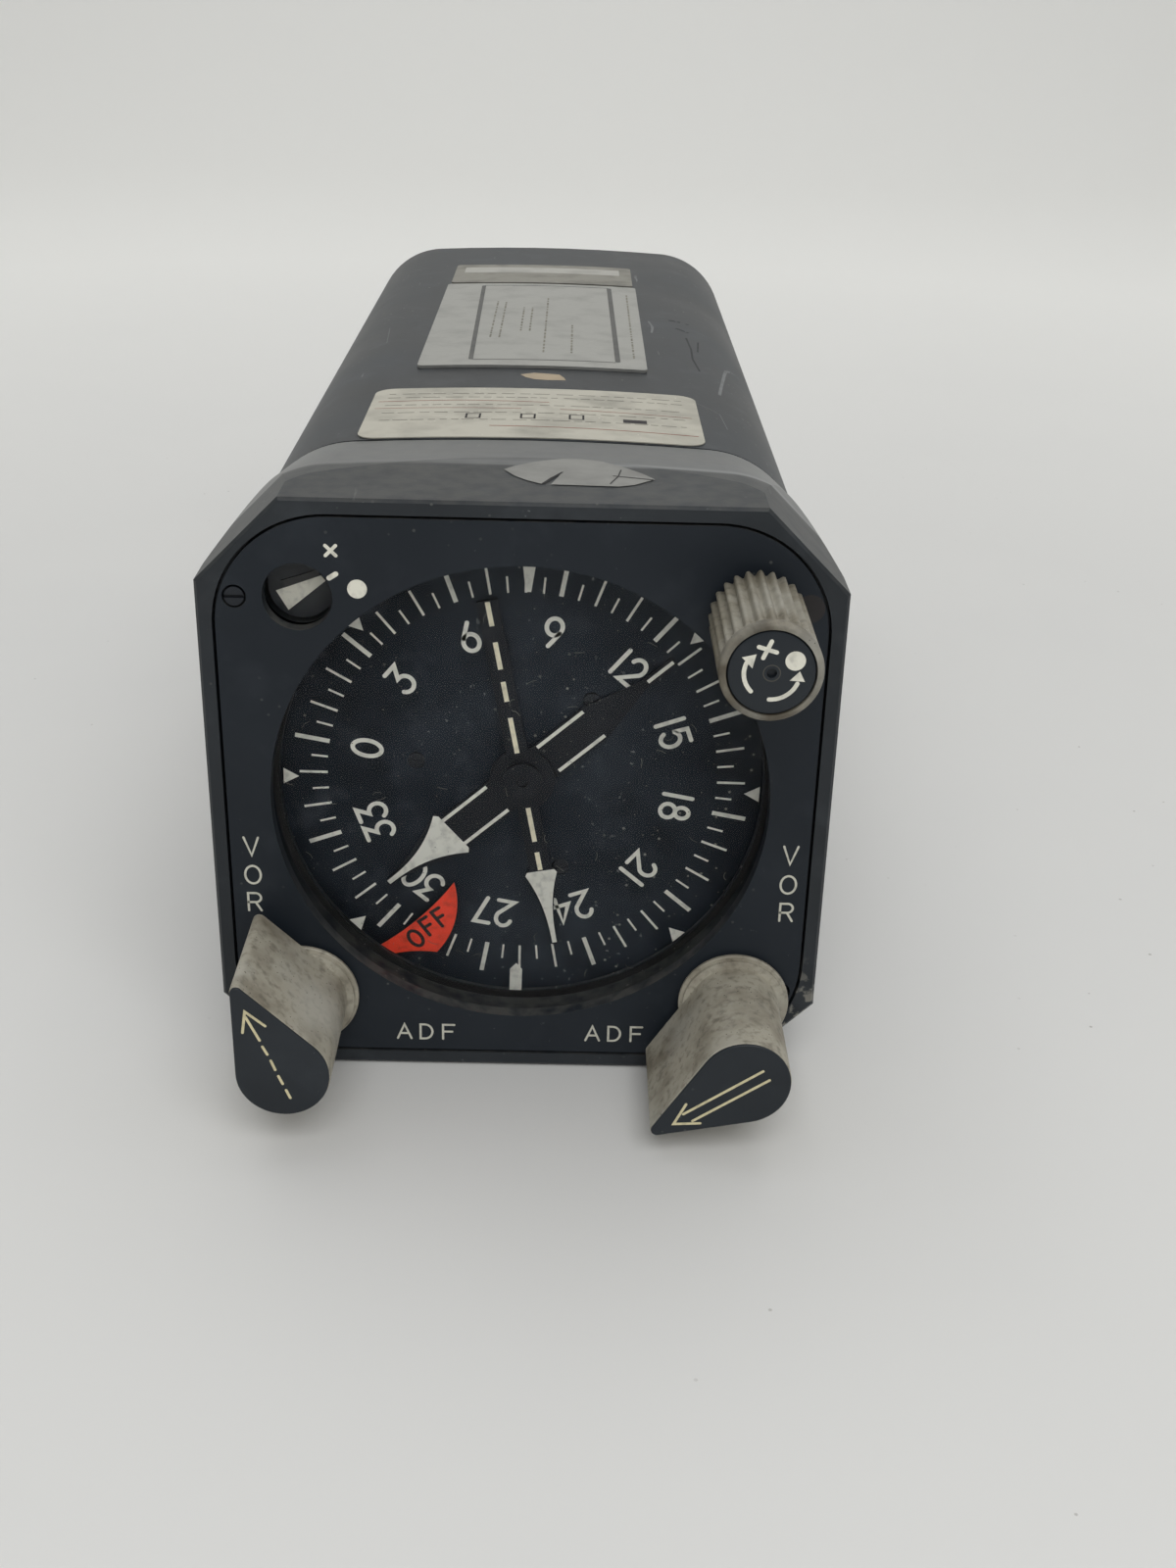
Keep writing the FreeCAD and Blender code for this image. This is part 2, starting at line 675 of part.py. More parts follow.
def window_pieces():
    glass = rod("window_glass", glass_radius, glass_front, glass_rear)
    gasket = ring("window_gasket", glass_radius, lip_radius + small_play,
                  glass_rear + d.glue_gap, lip_front)
    signal = rod("annunciator_window", d.signal_glass, d.plate_depth + d.glue_gap,
                 signal_glass_rear, *SIGNAL_PLACE)
    return [glass, gasket, signal]


def seam_gasket():
    outside = crowned_slab("gasket_outside", case_half - small_play, d.case_corner - small_play,
                           d.seam_y, case_front)
    return cut("seam_gasket", outside,
               [square_slab("gasket_hole", bay_half, bay_corner, d.seam_y, case_front)])


# Case, labels and rear connector
def case_sleeve():
    outside = crowned_slab("case_outside", case_half, d.case_corner, case_front, case_rear)
    break_end(outside, d.case_edge, "Fillet", rear=True)
    inside = crowned_slab("case_inside", case_half - d.case_wall, d.case_corner - d.case_wall,
                          d.seam_y, case_rear - d.rear_wall)
    hole_front = case_rear - 2 * d.rear_wall
    rooms = [inside, rod("connector_room", connector_inner, hole_front, case_rear)]
    for number, (x, z) in spots(POSTS + CONNECTOR_SCREWS):
        rooms.append(rod("rear_hole_%d" % number, screw_hole, hole_front, case_rear, x, z))
    return cut("case_sleeve", outside, rooms)


def case_skin(label, thickness, across, along, corner_radius):
    """Thin label that follows the bulged top of the case."""
    inner = case_half + d.glue_gap
    skin = cut(label + "_skin",
               crowned_slab(label + "_outer", inner + thickness, d.case_corner,
                            case_front, case_rear),
               [crowned_slab(label + "_inner", inner, d.case_corner, case_front, case_rear)])
    left, right = across
    front, rear = along
    corners = [(left, front), (right, front), (right, rear), (left, rear)]
    return overlap(label, skin, plan_prism(label + "_plan", corners, corner_radius))


def case_labels():
    left = -d.label_width / 2 - d.label_offset
    right = left + d.label_width
    plate_front = d.seam_y + d.label_front
    plate_end = plate_front + d.label_length
    strip_front = plate_end + d.strip_space
    sticker_front = d.seam_y + d.sticker_front
    half = d.sticker_width / 2
    corner = 2 * d.label_thick
    return [
        case_skin("data_plate", d.label_thick, (left, right), (plate_front, plate_end), corner),
        case_skin("modification_plate", d.label_thick,
                  (left + d.label_thick, right - d.label_thick),
                  (strip_front, strip_front + d.strip_length), corner),
        case_skin("inspection_sticker", d.paper_thick, (-half, half),
                  (sticker_front, sticker_front + d.sticker_length), 3 * corner),
        tamper_seal(),
    ]


def tamper_seal():
    """Oval foil with one straight side, over the line where the casting starts to slope."""
    skin = cut("tamper_seal_skin", casting_outside("seal_outer", d.glue_gap + d.paper_thick),
               [casting_outside("seal_inner", d.glue_gap)])
    x = d.seal_x
    y = d.seal_y
    oval = [
        (x - d.seal_edge / 2, y - d.seal_drop),
        (x + d.seal_edge / 2, y - d.seal_drop, d.seal_arc),
        (x + d.seal_half, y, d.seal_arc),
        (x, y + d.seal_rise, d.seal_arc),
        (x - d.seal_half, y, d.seal_arc),
    ]
    return overlap("tamper_seal", skin, plan_prism("tamper_seal_plan", oval))


def rear_connector():
    flange_rear = case_rear + d.connector_rim
    insert_rear = rear_end - d.insert_depth
    flange = square_slab("connector_plate", d.connector_flange, 2 * d.connector_rim,
                         case_rear, flange_rear)
    outside = union("connector_outside",
                    [flange, rod("connector_barrel", d.shell_radius, case_rear, rear_end)])
    rooms = [rod("connector_bore", connector_inner, case_rear, rear_end)]
    for number, (x, z) in spots(CONNECTOR_SCREWS):
        rooms.append(rod("connector_hole_%d" % number, screw_hole, case_rear, flange_rear, x, z))
    insert = rod("connector_insert", connector_inner - d.seat_gap, case_rear - d.insert_depth,
                 insert_rear)
    return [
        cut("connector_shell", outside, rooms),
        insert,
        connector_pins(insert_rear),
        screws("connector_screws", CONNECTOR_SCREWS, 2 * d.screw_radius, d.head_height,
               flange_rear, case_rear - d.screw_reach),
    ]


def connector_pins(insert_rear):
    """One pin in the middle and two rings of pins round it."""
    places = [MIDDLE]
    for ring_number in (1, 2):
        count = 6 * ring_number
        places += on_circle(ring_number * d.pin_pitch, [360 * n / count for n in range(count)])
    return group("connector_pins", [
        rod("connector_pin_%d" % number, d.pin_radius, insert_rear, insert_rear + d.pin_length,
            x, z) for number, (x, z) in spots(places)])


# Knobs
def drop_slab(label, x, rear, front, left_turn):
    """Slab of drop shape: tip up before it is turned, round end about the shaft."""
    big = d.drop_radius
    small = d.drop_tip
    lean = (big - small) / d.drop_length
    across = formula("sqrt", 1 - lean * lean)
    body = new_body(label, x, rear, -knob_z, left_turn)
    sketch = new_sketch(body)
    outline(sketch, [
        (big * across, big * lean),
        (small * across, d.drop_length + small * lean, small),
        (-small * across, d.drop_length + small * lean),
        (-big * across, big * lean, big),
        (as_size(0), -big, big),
    ])
    pad(body, sketch, rear - front)
    return body


def selector_knob(side, x, left_turn):
    """Drop-shaped knob on a stepped round foot, with a black face and a shaft."""
    foot_front = -d.flange_rear - d.flange_thick
    face_rear = d.knob_face - d.knob_reach
    whole = union(side + "_selector_outside", [
        drop_slab(side + "_selector_grip", x, foot_front, face_rear, left_turn),
        rod(side + "_selector_step", d.flange_radius - d.flange_step, foot_front,
            -d.flange_rear, x, -knob_z),
        rod(side + "_selector_foot", d.flange_radius, foot_front / 2 - d.flange_rear / 2,
            -d.flange_rear, x, -knob_z),
    ])
    bore = rod(side + "_selector_bore", shaft_hole, -d.shaft_front - d.seat_gap, 0, x, -knob_z)
    return [
        cut(side + "_selector_knob", whole, [bore]),
        drop_slab(side + "_selector_face", x, face_rear, -d.knob_reach, left_turn),
        rod(side + "_selector_shaft", d.knob_shaft, -d.shaft_front, shaft_rear, x, -knob_z),
    ]


def sync_knob():
    """Fluted knob with a sunk black disc and a shaft."""
    length = d.sync_front - d.sync_rear
    knob = new_body("sync_knob", sync_x, -d.sync_rear, sync_z)
    sketch = new_sketch(knob)
    circle(sketch, d.sync_radius)
    pad(knob, sketch, length)
    sketch = new_sketch(knob, lift=length)
    circle(sketch, d.sync_face + d.run_gap)
    pocket(knob, sketch, d.sync_face_depth)
    sketch = new_sketch(knob)
    circle(sketch, shaft_hole)
    pocket(knob, sketch, d.shaft_front + d.seat_gap - d.sync_rear, forward=True)
    sketch = new_sketch(knob)
    circle(sketch, d.flute_radius, 0, d.sync_radius)
    repeat(knob, pocket(knob, sketch, length - d.flute_end, forward=True), d.flutes)
    face_front = d.run_gap - d.sync_front
    face = cut("sync_knob_face",
               rod("sync_disc", d.sync_face, face_front, d.sync_face_depth - d.sync_front,
                   sync_x, sync_z),
               [rod("sync_dimple", d.sync_dimple, face_front, face_front + d.sync_dimple,
                    sync_x, sync_z)])
    shaft = rod("sync_shaft", d.knob_shaft, -d.shaft_front, shaft_rear, sync_x, sync_z)
    return [knob, face, shaft]


def shaft_bushings():
    """Bushings in the casting that carry the three knob shafts."""
    made = []
    for number, (x, z) in spots(KNOB_PLACES):
        whole = union("bushing_outside_%d" % number, [
            rod("bushing_flange_%d" % number, d.bushing_flange, d.plate_depth / 2,
                d.plate_depth, x, z),
            rod("bushing_barrel_%d" % number, d.bushing_radius, d.plate_depth, plate_rear, x, z),
        ])
        made.append(cut("bushing_%d" % number, whole,
                        [rod("bushing_bore_%d" % number, shaft_hole, 0, plate_rear, x, z)]))
    return group("shaft_bushings", made)


# Flag and annunciator
def off_flag():
    """Thin curved flag on its spindle, in the place that it takes when the heading fails."""
    leaf = new_body("flag_leaf", -flag_pivot_x, flag_y + d.flag_thick, -flag_pivot_z)
    sketch = new_sketch(leaf)
    reach = d.flag_sweep
    outline(sketch, [
        (0.03 * reach, -0.08 * reach, -0.82 * reach),
        (0.6 * reach, 0.06 * reach, 0.62 * reach),
        (0.726 * reach, 0.625 * reach, -2 * reach),
        (0.17 * reach, 0.088 * reach),
        (-0.055 * reach, 0.075 * reach, d.flag_hub),
    ])
    pad(leaf, sketch, d.flag_thick)
    spindle = rod("flag_spindle", d.small_spindle, flag_y, plate_rear + d.spindle_reach,
                  *FLAG_PLACE)
    return union("off_flag", [leaf, spindle])


def annunciator_pointer():
    """Small triangle with its spindle."""
    rear = signal_y + d.pointer_thick
    leaf = new_body("signal_leaf", -signal_x, rear, signal_z)
    sketch = new_sketch(leaf)
    reach = d.signal_window
    outline(sketch, [(-0.587 * reach, 0.175 * reach), (-0.234 * reach, -0.411 * reach),
                     (0.72 * reach, 0.584 * reach)])
    pad(leaf, sketch, d.pointer_thick)
    spindle = rod("signal_spindle", d.small_spindle, signal_y, signal_floor + d.spindle_reach,
                  *SIGNAL_PLACE)
    return union("annunciator_pointer", [leaf, spindle])


def small_movements():
    """Meter movements that turn the flag and the annunciator pointer."""
    bore_radius = d.small_spindle + d.run_gap
    signal = union("annunciator_outside", [
        rod("annunciator_barrel", d.movement_radius, signal_floor + d.seat_gap,
            plate_rear + d.movement_length, *SIGNAL_PLACE),
        rod("annunciator_rim", d.signal_room, plate_rear, plate_rear + d.head_height,
            *SIGNAL_PLACE),
    ])
    signal_bore = rod("annunciator_bore", bore_radius, signal_floor,
                      signal_floor + d.spindle_reach + d.seat_gap, *SIGNAL_PLACE)
    flag = rod("flag_movement_body", d.movement_radius, plate_rear,
               plate_rear + d.movement_length, *FLAG_PLACE)
    flag_bore = rod("flag_movement_bore", bore_radius, plate_rear,
                    plate_rear + d.spindle_reach + d.seat_gap, *FLAG_PLACE)
    return [cut("annunciator_movement", signal, [signal_bore]),
            cut("flag_movement", flag, [flag_bore])]


# Card and pointers
CARD_SCREWS = on_circle(d.card_screw_circle, (38.6, 158.6, 278.6))
card_screw_seat = card_y + d.card_thick / 2


def compass_card():
    disc = rod("card_disc", card_radius, card_y, hub_front)
    rooms = [rod("card_bore", d.sleeve_radius + d.seat_gap, card_y, hub_front)]
    for number, (x, z) in spots(CARD_SCREWS):
        rooms.append(rod("card_screw_head_room_%d" % number, d.card_screw_head + small_play,
                         card_y, card_screw_seat, x, z))
        rooms.append(rod("card_screw_room_%d" % number, d.screw_radius + small_play,
                         card_y, hub_front, x, z))
    return cut("compass_card", disc, rooms)


def card_hub():
    """Flange that carries the card, on the tube that turns in the card bearing."""
    flange_rear = hub_front + d.hub_thick
    tube_rear = hub_front + d.hub_length
    outside = union("hub_outside", [
        rod("hub_disc", d.hub_flange, hub_front, flange_rear),
        rod("hub_tube", d.hub_radius, hub_front, tube_rear),
    ])
    rooms = [rod("hub_bore", d.sleeve_radius + d.run_gap, hub_front, tube_rear)]
    for number, (x, z) in spots(CARD_SCREWS):
        rooms.append(rod("hub_screw_room_%d" % number, d.screw_radius + small_play,
                         hub_front, flange_rear, x, z))
    return cut("card_hub", outside, rooms)


def pointer_leaf(label, rear, left_turn, half_outline):
    """Flat pointer from the right half of its outline, tail first, tip last."""
    corners = list(half_outline)
    for (x, z, *_), following in zip(reversed(half_outline), reversed([(0,)] + half_outline[:-1])):
        corners.append((-x, z) + tuple(following[2:]))
    leaf = new_body(label, 0, rear, 0, as_size(left_turn))
    sketch = new_sketch(leaf)
    outline(sketch, corners)
    pad(leaf, sketch, d.pointer_thick)
    return leaf


def pointer_1():
    """Single pointer: narrow bar with a concave arrowhead, hub disc and boss."""
    rear = pointer_1_y + d.pointer_thick
    half = d.pointer_half
    reach = pointer_reach
    whole = union("pointer_1_outside", [
        pointer_leaf("pointer_1_bar", rear, 190.7, [
            (half, -reach), (half, 0.53 * reach), (1.55 * half, 0.55 * reach),
            (1.45 * half, 0.59 * reach, -1.15 * reach), (0.24 * half, reach),
        ]),
        rod("pointer_1_disc", d.pointer_disc, pointer_1_y, rear),
        rod("pointer_1_boss", d.pointer_boss, pointer_1_y - 2 * d.card_gap, rear),
    ])
    bore = rod("pointer_1_bore", d.spindle_radius + d.grip_gap, lip_front, rear)
    return cut("pointer_1", whole, [bore])


def pointer_2():
    """Double pointer: wide bar with a broad arrowhead and a tapered tail."""
    rear = pointer_2_y + d.pointer_thick
    half = d.pointer_2_half
    reach = pointer_reach
    whole = union("pointer_2_outside", [
        pointer_leaf("pointer_2_bar", rear, 131.5, [
            (0.22 * half, -1.02 * reach), (0.22 * half, -0.82 * reach), (half, -0.5 * reach),
            (half, 0.47 * reach), (1.36 * half, 0.49 * reach),
            (1.27 * half, 0.53 * reach, -1.4 * reach), (0.13 * half, 0.95 * reach),
        ]),
        rod("pointer_2_disc", d.pointer_disc, pointer_2_y, rear),
    ])
    bore = rod("pointer_2_bore", d.sleeve_radius + d.grip_gap, lip_front, rear)
    return cut("pointer_2", whole, [bore])


# Gears and motors
def gear_reach(teeth):
    """Distance of a gear from the middle where it meshes with the gear there."""
    return (d.gear_teeth + teeth) * gear_module / 2


HEADING_PLACE = (gear_reach(d.gear_teeth), as_size(0))
SECOND_PLACE = (-gear_reach(d.gear_teeth), as_size(0))
SERVO_PLACE = (as_size(0), gear_reach(d.pinion_teeth))


def gear(label, teeth, front, place_at, half_step=False):
    """Spur gear about Y with straight tooth gaps; half_step turns it by half a tooth."""
    pitch = teeth * gear_module / 2
    root = pitch - 1.25 * gear_module
    tip = pitch + gear_module
    gap_end = tip + gear_module / 2
    quarter = math.pi / 4 * gear_module + d.gear_play / 2
    slope = formula("tan", 20 + 90 / teeth)
    low = quarter - (pitch - root) * slope
    high = quarter + (gap_end - pitch) * slope
    wheel = new_body(label, place_at[0], front + d.gear_width, place_at[1],
                     180 / teeth if half_step else None)
    sketch = new_sketch(wheel)
    circle(sketch, tip)
    pad(wheel, sketch, d.gear_width)
    sketch = new_sketch(wheel)
    outline(sketch, [(-low, root), (low, root), (high, gap_end), (-high, gap_end)])
    repeat(wheel, pocket(wheel, sketch, d.gear_width, forward=True), teeth)
    return wheel


def bored_gear(label, front, radius):
    """Gear about the middle, gripped by the tube of that radius."""
    wheel = gear(label + "_wheel", d.gear_teeth, front, MIDDLE)
    bore = rod(label + "_bore", radius + d.grip_gap, front, front + d.gear_width)
    return cut(label, wheel, [bore])


def rotor(label, teeth, gear_front, place_at, motor_y):
    """Gear on the shaft that turns in a motor."""
    return union(label, [
        gear(label + "_wheel", teeth, gear_front, place_at, True),
        rod(label + "_shaft", d.motor_shaft, gear_front - d.motor_shaft,
            motor_y + d.shaft_reach, *place_at),
    ])


def motor(label, front, length, place_at, shaft_radius, rim):
    """Round can with an end cap, bored for its shaft; some have a mounting rim."""
    rear = front + length
    parts = [
        rod(label + "_can", motor_radius, front, rear, *place_at),
        rod(label + "_cap", 0.8 * motor_radius, rear, rear + d.cap_thick, *place_at),
    ]
    if rim:
        parts.append(rod(label + "_rim", motor_flange, middle_rear, middle_rear + d.cap_thick,
                         *place_at))
    bore = rod(label + "_bore", shaft_radius + d.run_gap, front,
               front + d.shaft_reach + d.seat_gap, *place_at)
    return cut(label, union(label + "_outside", parts), [bore])


def turning_train():
    """Hollow shafts, gears and motors of the card and the two pointers."""
    sleeve_rear = pointer_gear_y + d.gear_width + d.seat_gap
    sleeve = cut("pointer_2_sleeve",
                 rod("sleeve_outside", d.sleeve_radius, pointer_2_y, sleeve_rear),
                 [rod("sleeve_bore", d.spindle_radius + d.run_gap, pointer_2_y, sleeve_rear)])
    return [
        bored_gear("card_gear", card_gear_y, d.hub_radius),
        bored_gear("pointer_2_gear", pointer_gear_y, d.sleeve_radius),
        sleeve,
        rod("pointer_1_shaft", d.spindle_radius, pointer_1_y - d.card_gap,
            middle_rear + d.shaft_reach),
        rotor("heading_synchro_rotor", d.gear_teeth, card_gear_y, HEADING_PLACE, early_motor_y),
        rotor("servo_rotor", d.pinion_teeth, card_gear_y, SERVO_PLACE, late_motor_y),
        rotor("pointer_2_synchro_rotor", d.gear_teeth, pointer_gear_y, SECOND_PLACE,
              late_motor_y),
        motor("heading_synchro", early_motor_y, d.synchro_length, HEADING_PLACE,
              d.motor_shaft, True),
        motor("card_servo_motor", late_motor_y, d.servo_length, SERVO_PLACE,
              d.motor_shaft, True),
        motor("pointer_2_synchro", late_motor_y, d.synchro_length, SECOND_PLACE,
              d.motor_shaft, True),
        motor("pointer_1_synchro", middle_rear, d.synchro_length, MIDDLE,
              d.spindle_radius, False),
    ]


# Frame
def frame_plate(label, front, rear, holes):
    """Square plate with a list of round holes given as radius, x and z."""
    slab = square_slab(label + "_slab", bay_half - d.seat_gap, bay_corner - d.seat_gap,
                       front, rear)
    tools = [rod("%s_hole_%d" % (label, number), radius, front, rear, x, z)
             for number, (radius, x, z) in spots(holes)]
    return cut(label, slab, tools)


def frame_plates():
    front_holes = [
        (d.bearing_radius + small_play,) + MIDDLE,
        (movement_hole,) + SIGNAL_PLACE,
        (spindle_hole,) + FLAG_PLACE,
    ]
    front_holes += [(bushing_hole, x, z) for x, z in KNOB_PLACES]
    front_holes += [(screw_hole, x, z) for x, z in FRAME_SCREWS]
    middle_holes = [(motor_radius + d.seat_gap,) + place_at
                    for place_at in (HEADING_PLACE, SECOND_PLACE, SERVO_PLACE)]
    middle_holes.append((d.hub_radius,) + MIDDLE)
    rear_holes = [(1.6 * d.cable_hole,) + MIDDLE]
    rear_holes += [(d.cable_hole,) + place_at for place_at in (HEADING_PLACE, SECOND_PLACE)]
    return [
        frame_plate("front_frame_plate", d.ledge_y, plate_rear, front_holes),
        frame_plate("middle_frame_plate", d.middle_y, middle_rear, middle_holes),
        frame_plate("rear_frame_plate", d.rear_plate_y, rear_plate_end, rear_holes),
    ]


def card_bearing():
    rim_rear = plate_rear + d.bearing_lip
    outside = union("bearing_outside", [
        rod("bearing_body", d.bearing_radius, d.ledge_y, plate_rear),
        rod("bearing_rim", d.bearing_radius + d.bearing_lip, plate_rear, rim_rear),
    ])
    return cut("card_bearing", outside,
               [rod("bearing_bore", d.hub_radius + d.run_gap, d.ledge_y, rim_rear)])


def posts():
    """Posts that space the frame plates, and those that carry the frame on the rear wall."""
    wall = case_rear - d.rear_wall
    between = []
    behind = []
    for number, (x, z) in spots(POSTS):
        between.append(rod("front_post_%d" % number, d.post_radius, plate_rear, d.middle_y, x, z))
        between.append(rod("middle_post_%d" % number, d.post_radius, middle_rear,
                           d.rear_plate_y, x, z))
        bar = rod("rear_post_bar_%d" % number, d.rear_post_radius, rear_plate_end, wall, x, z)
        thread = rod("rear_post_thread_%d" % number, screw_hole, wall - 2 * d.screw_reach,
                     wall, x, z)
        behind.append(cut("rear_post_%d" % number, bar, [thread]))
    return [group("frame_posts", between), group("rear_posts", behind)]


# Electrical pieces
def sync_transmitter():
    can = rod("sync_transmitter_can", d.transmitter_radius, plate_rear,
              plate_rear + d.switch_length, sync_x, sync_z)
    bore = rod("sync_transmitter_bore", shaft_hole, plate_rear, shaft_rear + d.seat_gap,
               sync_x, sync_z)
    return cut("sync_transmitter", can, [bore])


def selector_switches():
    neck_rear = plate_rear + 0.4 * d.switch_length
    made = []
    for number, (x, z) in spots(KNOB_PLACES[:2]):
        whole = union("switch_outside_%d" % number, [
            rod("switch_neck_%d" % number, d.switch_neck, plate_rear, neck_rear, x, z),
            rod("switch_can_%d" % number, d.switch_radius, neck_rear,
                plate_rear + d.switch_length, x, z),
        ])
        bore = rod("switch_bore_%d" % number, shaft_hole, plate_rear, shaft_rear + d.seat_gap,
                   x, z)
        made.append(cut("switch_%d" % number, whole, [bore]))
    return group("selector_switches", made)


def lamps():
    """Small lamps in the room round the card edge."""
    places = on_circle((card_radius + cavity_radius) / 2, (0, 90, 180, 270))
    return group("lamps", [rod("lamp_%d" % number, d.lamp_radius, card_y - d.card_thick,
                               d.ledge_y, x, z) for number, (x, z) in spots(places)])


# Components on the boards: place across, place along, width, length and height, each in
# hundredths of the board length
UPPER_PARTS = [(-21, 8, 12, 19, 6), (0, 8, 15, 10, 9), (20, 10, 15, 17, 5), (-19, 42, 17, 8, 4),
               (6, 38, 10, 23, 10), (23, 48, 8, 8, 12), (-19, 67, 15, 21, 5), (12, 73, 23, 15, 6)]
LOWER_PARTS = [(-23, 6, 10, 15, 7), (23, 6, 10, 15, 7), (-25, 69, 8, 8, 12), (-12, 71, 8, 8, 12),
               (17, 73, 21, 15, 5), (0, 90, 31, 6, 4)]


def board(label, side, parts):
    """Circuit board above or below the middle; parts stand on its inner face."""
    share = d.board_length / 100
    outer = side * board_outer
    inner = outer - side * d.board_thick
    pieces = [block(label + "_sheet", (-board_half, board_half), (board_y, board_rear),
                    (inner, outer) if side > 0 else (outer, inner))]
    for number, (x, y, wide, deep, tall) in spots(parts):
        tip = inner - side * tall * share
        front = board_y + y * share
        pieces.append(block("%s_part_%d" % (label, number),
                            ((x - wide / 2) * share, (x + wide / 2) * share),
                            (front, front + deep * share),
                            (tip, inner) if side > 0 else (inner, tip)))
    return union(label, pieces)


def power_transformer():
    """Laminated core with its winding on the lower board."""
    floor = d.board_thick - board_outer
    front = board_y + d.board_length / 4
    rear = front + d.core_length
    half = d.core_width / 2
    coil_half = d.core_width / 3
    core = block("transformer_core", (-half, half), (front, rear), (floor, floor + d.core_height))
    coil = block("transformer_coil", (-coil_half, coil_half),
                 (front - d.coil_reach, rear + d.coil_reach),
                 (floor + d.core_height / 5, floor + d.core_height * 4 / 5))
    return union("power_transformer", [core, coil])


def build():
    """Make every node and return them."""
    nodes = [front_casting(), face_plate(), seam_gasket(), case_sleeve()]
    nodes.append(screws("face_screws", FACE_SCREWS, d.face_screw_head, d.head_height,
                        face_screw_seat, face_screw_end))
    nodes += window_pieces()
    nodes += case_labels()
    nodes += rear_connector()
    nodes += selector_knob("left", -knob_x, d.left_turn)
    nodes += selector_knob("right", knob_x, d.right_turn)
    nodes += sync_knob()
    nodes.append(shaft_bushings())
    nodes += [off_flag(), annunciator_pointer()]
    nodes += small_movements()
    nodes += [compass_card(), card_hub(), pointer_1(), pointer_2()]
    nodes.append(screws("card_screws", CARD_SCREWS, d.card_screw_head, d.card_thick / 2,
                        card_screw_seat, hub_front + d.hub_thick))
    nodes += turning_train()
    nodes += frame_plates()
    nodes.append(card_bearing())
    nodes += posts()
    nodes.append(screws("frame_screws", FRAME_SCREWS, 2 * d.screw_radius, d.head_height,
                        plate_rear, frame_screw_end))
    nodes.append(screws("case_screws", POSTS, d.rear_post_radius, d.head_height,
                        case_rear, case_rear - d.rear_wall - d.screw_reach))
    nodes += [sync_transmitter(), selector_switches(), lamps()]
    nodes.append(board("servo_amplifier_board", 1, UPPER_PARTS))
    nodes.append(board("receiver_board", -1, LOWER_PARTS))
    nodes.append(power_transformer())
    return nodes


def check_and_write(nodes):
    """Stop on any failed object, then write one file per node."""
    doc.recompute()
    for thing in doc.Objects:
        if "Invalid" in thing.State or "Error" in thing.State:
            raise RuntimeError("object failed: " + thing.Label)
    os.makedirs("parts", exist_ok=True)
    for node in nodes:
        if node.Shape.isNull() or not node.Shape.isValid():
            raise RuntimeError("bad shape: " + node.Label)
        node.Shape.exportStep("parts/%s.step" % node.Label)
    print("%d nodes written" % len(nodes))


check_and_write(build())
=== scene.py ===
# %% [markdown]
# # A worn compass indicator on a pale table
# The object is a panel instrument: an octagonal front casting with a round window, three knobs
# on its face, and a long sheet metal case behind it. The CAD part already gives every solid its
# shape and place. The whole could be modelled again in Blender, but two models soon drift
# apart. So this lesson dresses the solids: it gives them paint, metal, glass, print and wear,
# and builds anew only what needs finer or softer forms. Each step says how the real piece
# looks, how it could be made, and why it is made this way.

# %% Load the frame
import json
import math
import random

import bmesh
import bpy
from mathutils import Matrix, Vector


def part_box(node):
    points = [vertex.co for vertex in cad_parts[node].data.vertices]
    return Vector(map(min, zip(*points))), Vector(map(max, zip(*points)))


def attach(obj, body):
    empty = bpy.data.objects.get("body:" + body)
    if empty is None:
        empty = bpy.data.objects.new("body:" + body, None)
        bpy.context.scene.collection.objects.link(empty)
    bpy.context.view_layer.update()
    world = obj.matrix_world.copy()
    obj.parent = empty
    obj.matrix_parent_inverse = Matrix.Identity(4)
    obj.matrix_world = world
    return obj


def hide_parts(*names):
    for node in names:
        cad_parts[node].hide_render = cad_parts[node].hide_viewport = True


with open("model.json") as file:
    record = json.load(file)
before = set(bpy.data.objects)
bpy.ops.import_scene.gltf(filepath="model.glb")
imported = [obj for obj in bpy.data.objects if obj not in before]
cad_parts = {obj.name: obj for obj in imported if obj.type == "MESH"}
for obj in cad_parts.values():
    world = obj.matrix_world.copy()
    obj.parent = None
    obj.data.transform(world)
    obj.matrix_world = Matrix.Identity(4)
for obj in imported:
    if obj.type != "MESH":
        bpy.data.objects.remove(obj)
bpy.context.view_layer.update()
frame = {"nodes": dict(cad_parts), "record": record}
nodes = frame["nodes"]
MM = 0.001
casting_low, casting_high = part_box("front_casting")
RIM_Y = casting_low.y
DIAL_Z = (casting_low.z + casting_high.z) / 2
print("nodes:", len(nodes), "rim at", round(RIM_Y, 4), "dial at", round(DIAL_Z, 4))

# %% [markdown]
# ## Places and new pieces
# Everything on the front of the real instrument is laid out around the middle of the dial.
# Blender counts in metres from the frame's origin, and places could be typed that way, but a
# dial is easier to read in millimetres from its middle: x to the right, z up, and y backwards
# from the front rim. These helpers turn one into the other, ask the CAD nodes for their places,
# and put a finished mesh into the scene on the body that carries it.

# %% Places on the front and new pieces


def at(x, y, z):
    """A point given in millimetres from the dial middle, in metres of the frame."""
    return Vector((x * MM, RIM_Y + y * MM, DIAL_Z + z * MM))


def behind_rim(node, side):
    """Front (0) or rear (1) face of a CAD node, in millimetres behind the rim."""
    return (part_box(node)[side].y - RIM_Y) / MM


def middle_of(node):
    """Middle of a CAD node as x and z from the dial middle, in millimetres."""
    low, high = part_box(node)
    return (low.x + high.x) / 2 / MM, ((low.z + high.z) / 2 - DIAL_Z) / MM


def new_piece(name, mesh, body, finish):
    """Put a mesh in the scene, on its body and with its finish."""
    piece = bpy.data.objects.new(name, mesh)
    bpy.context.scene.collection.objects.link(piece)
    mesh.materials.append(finish)
    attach(piece, body)
    return piece


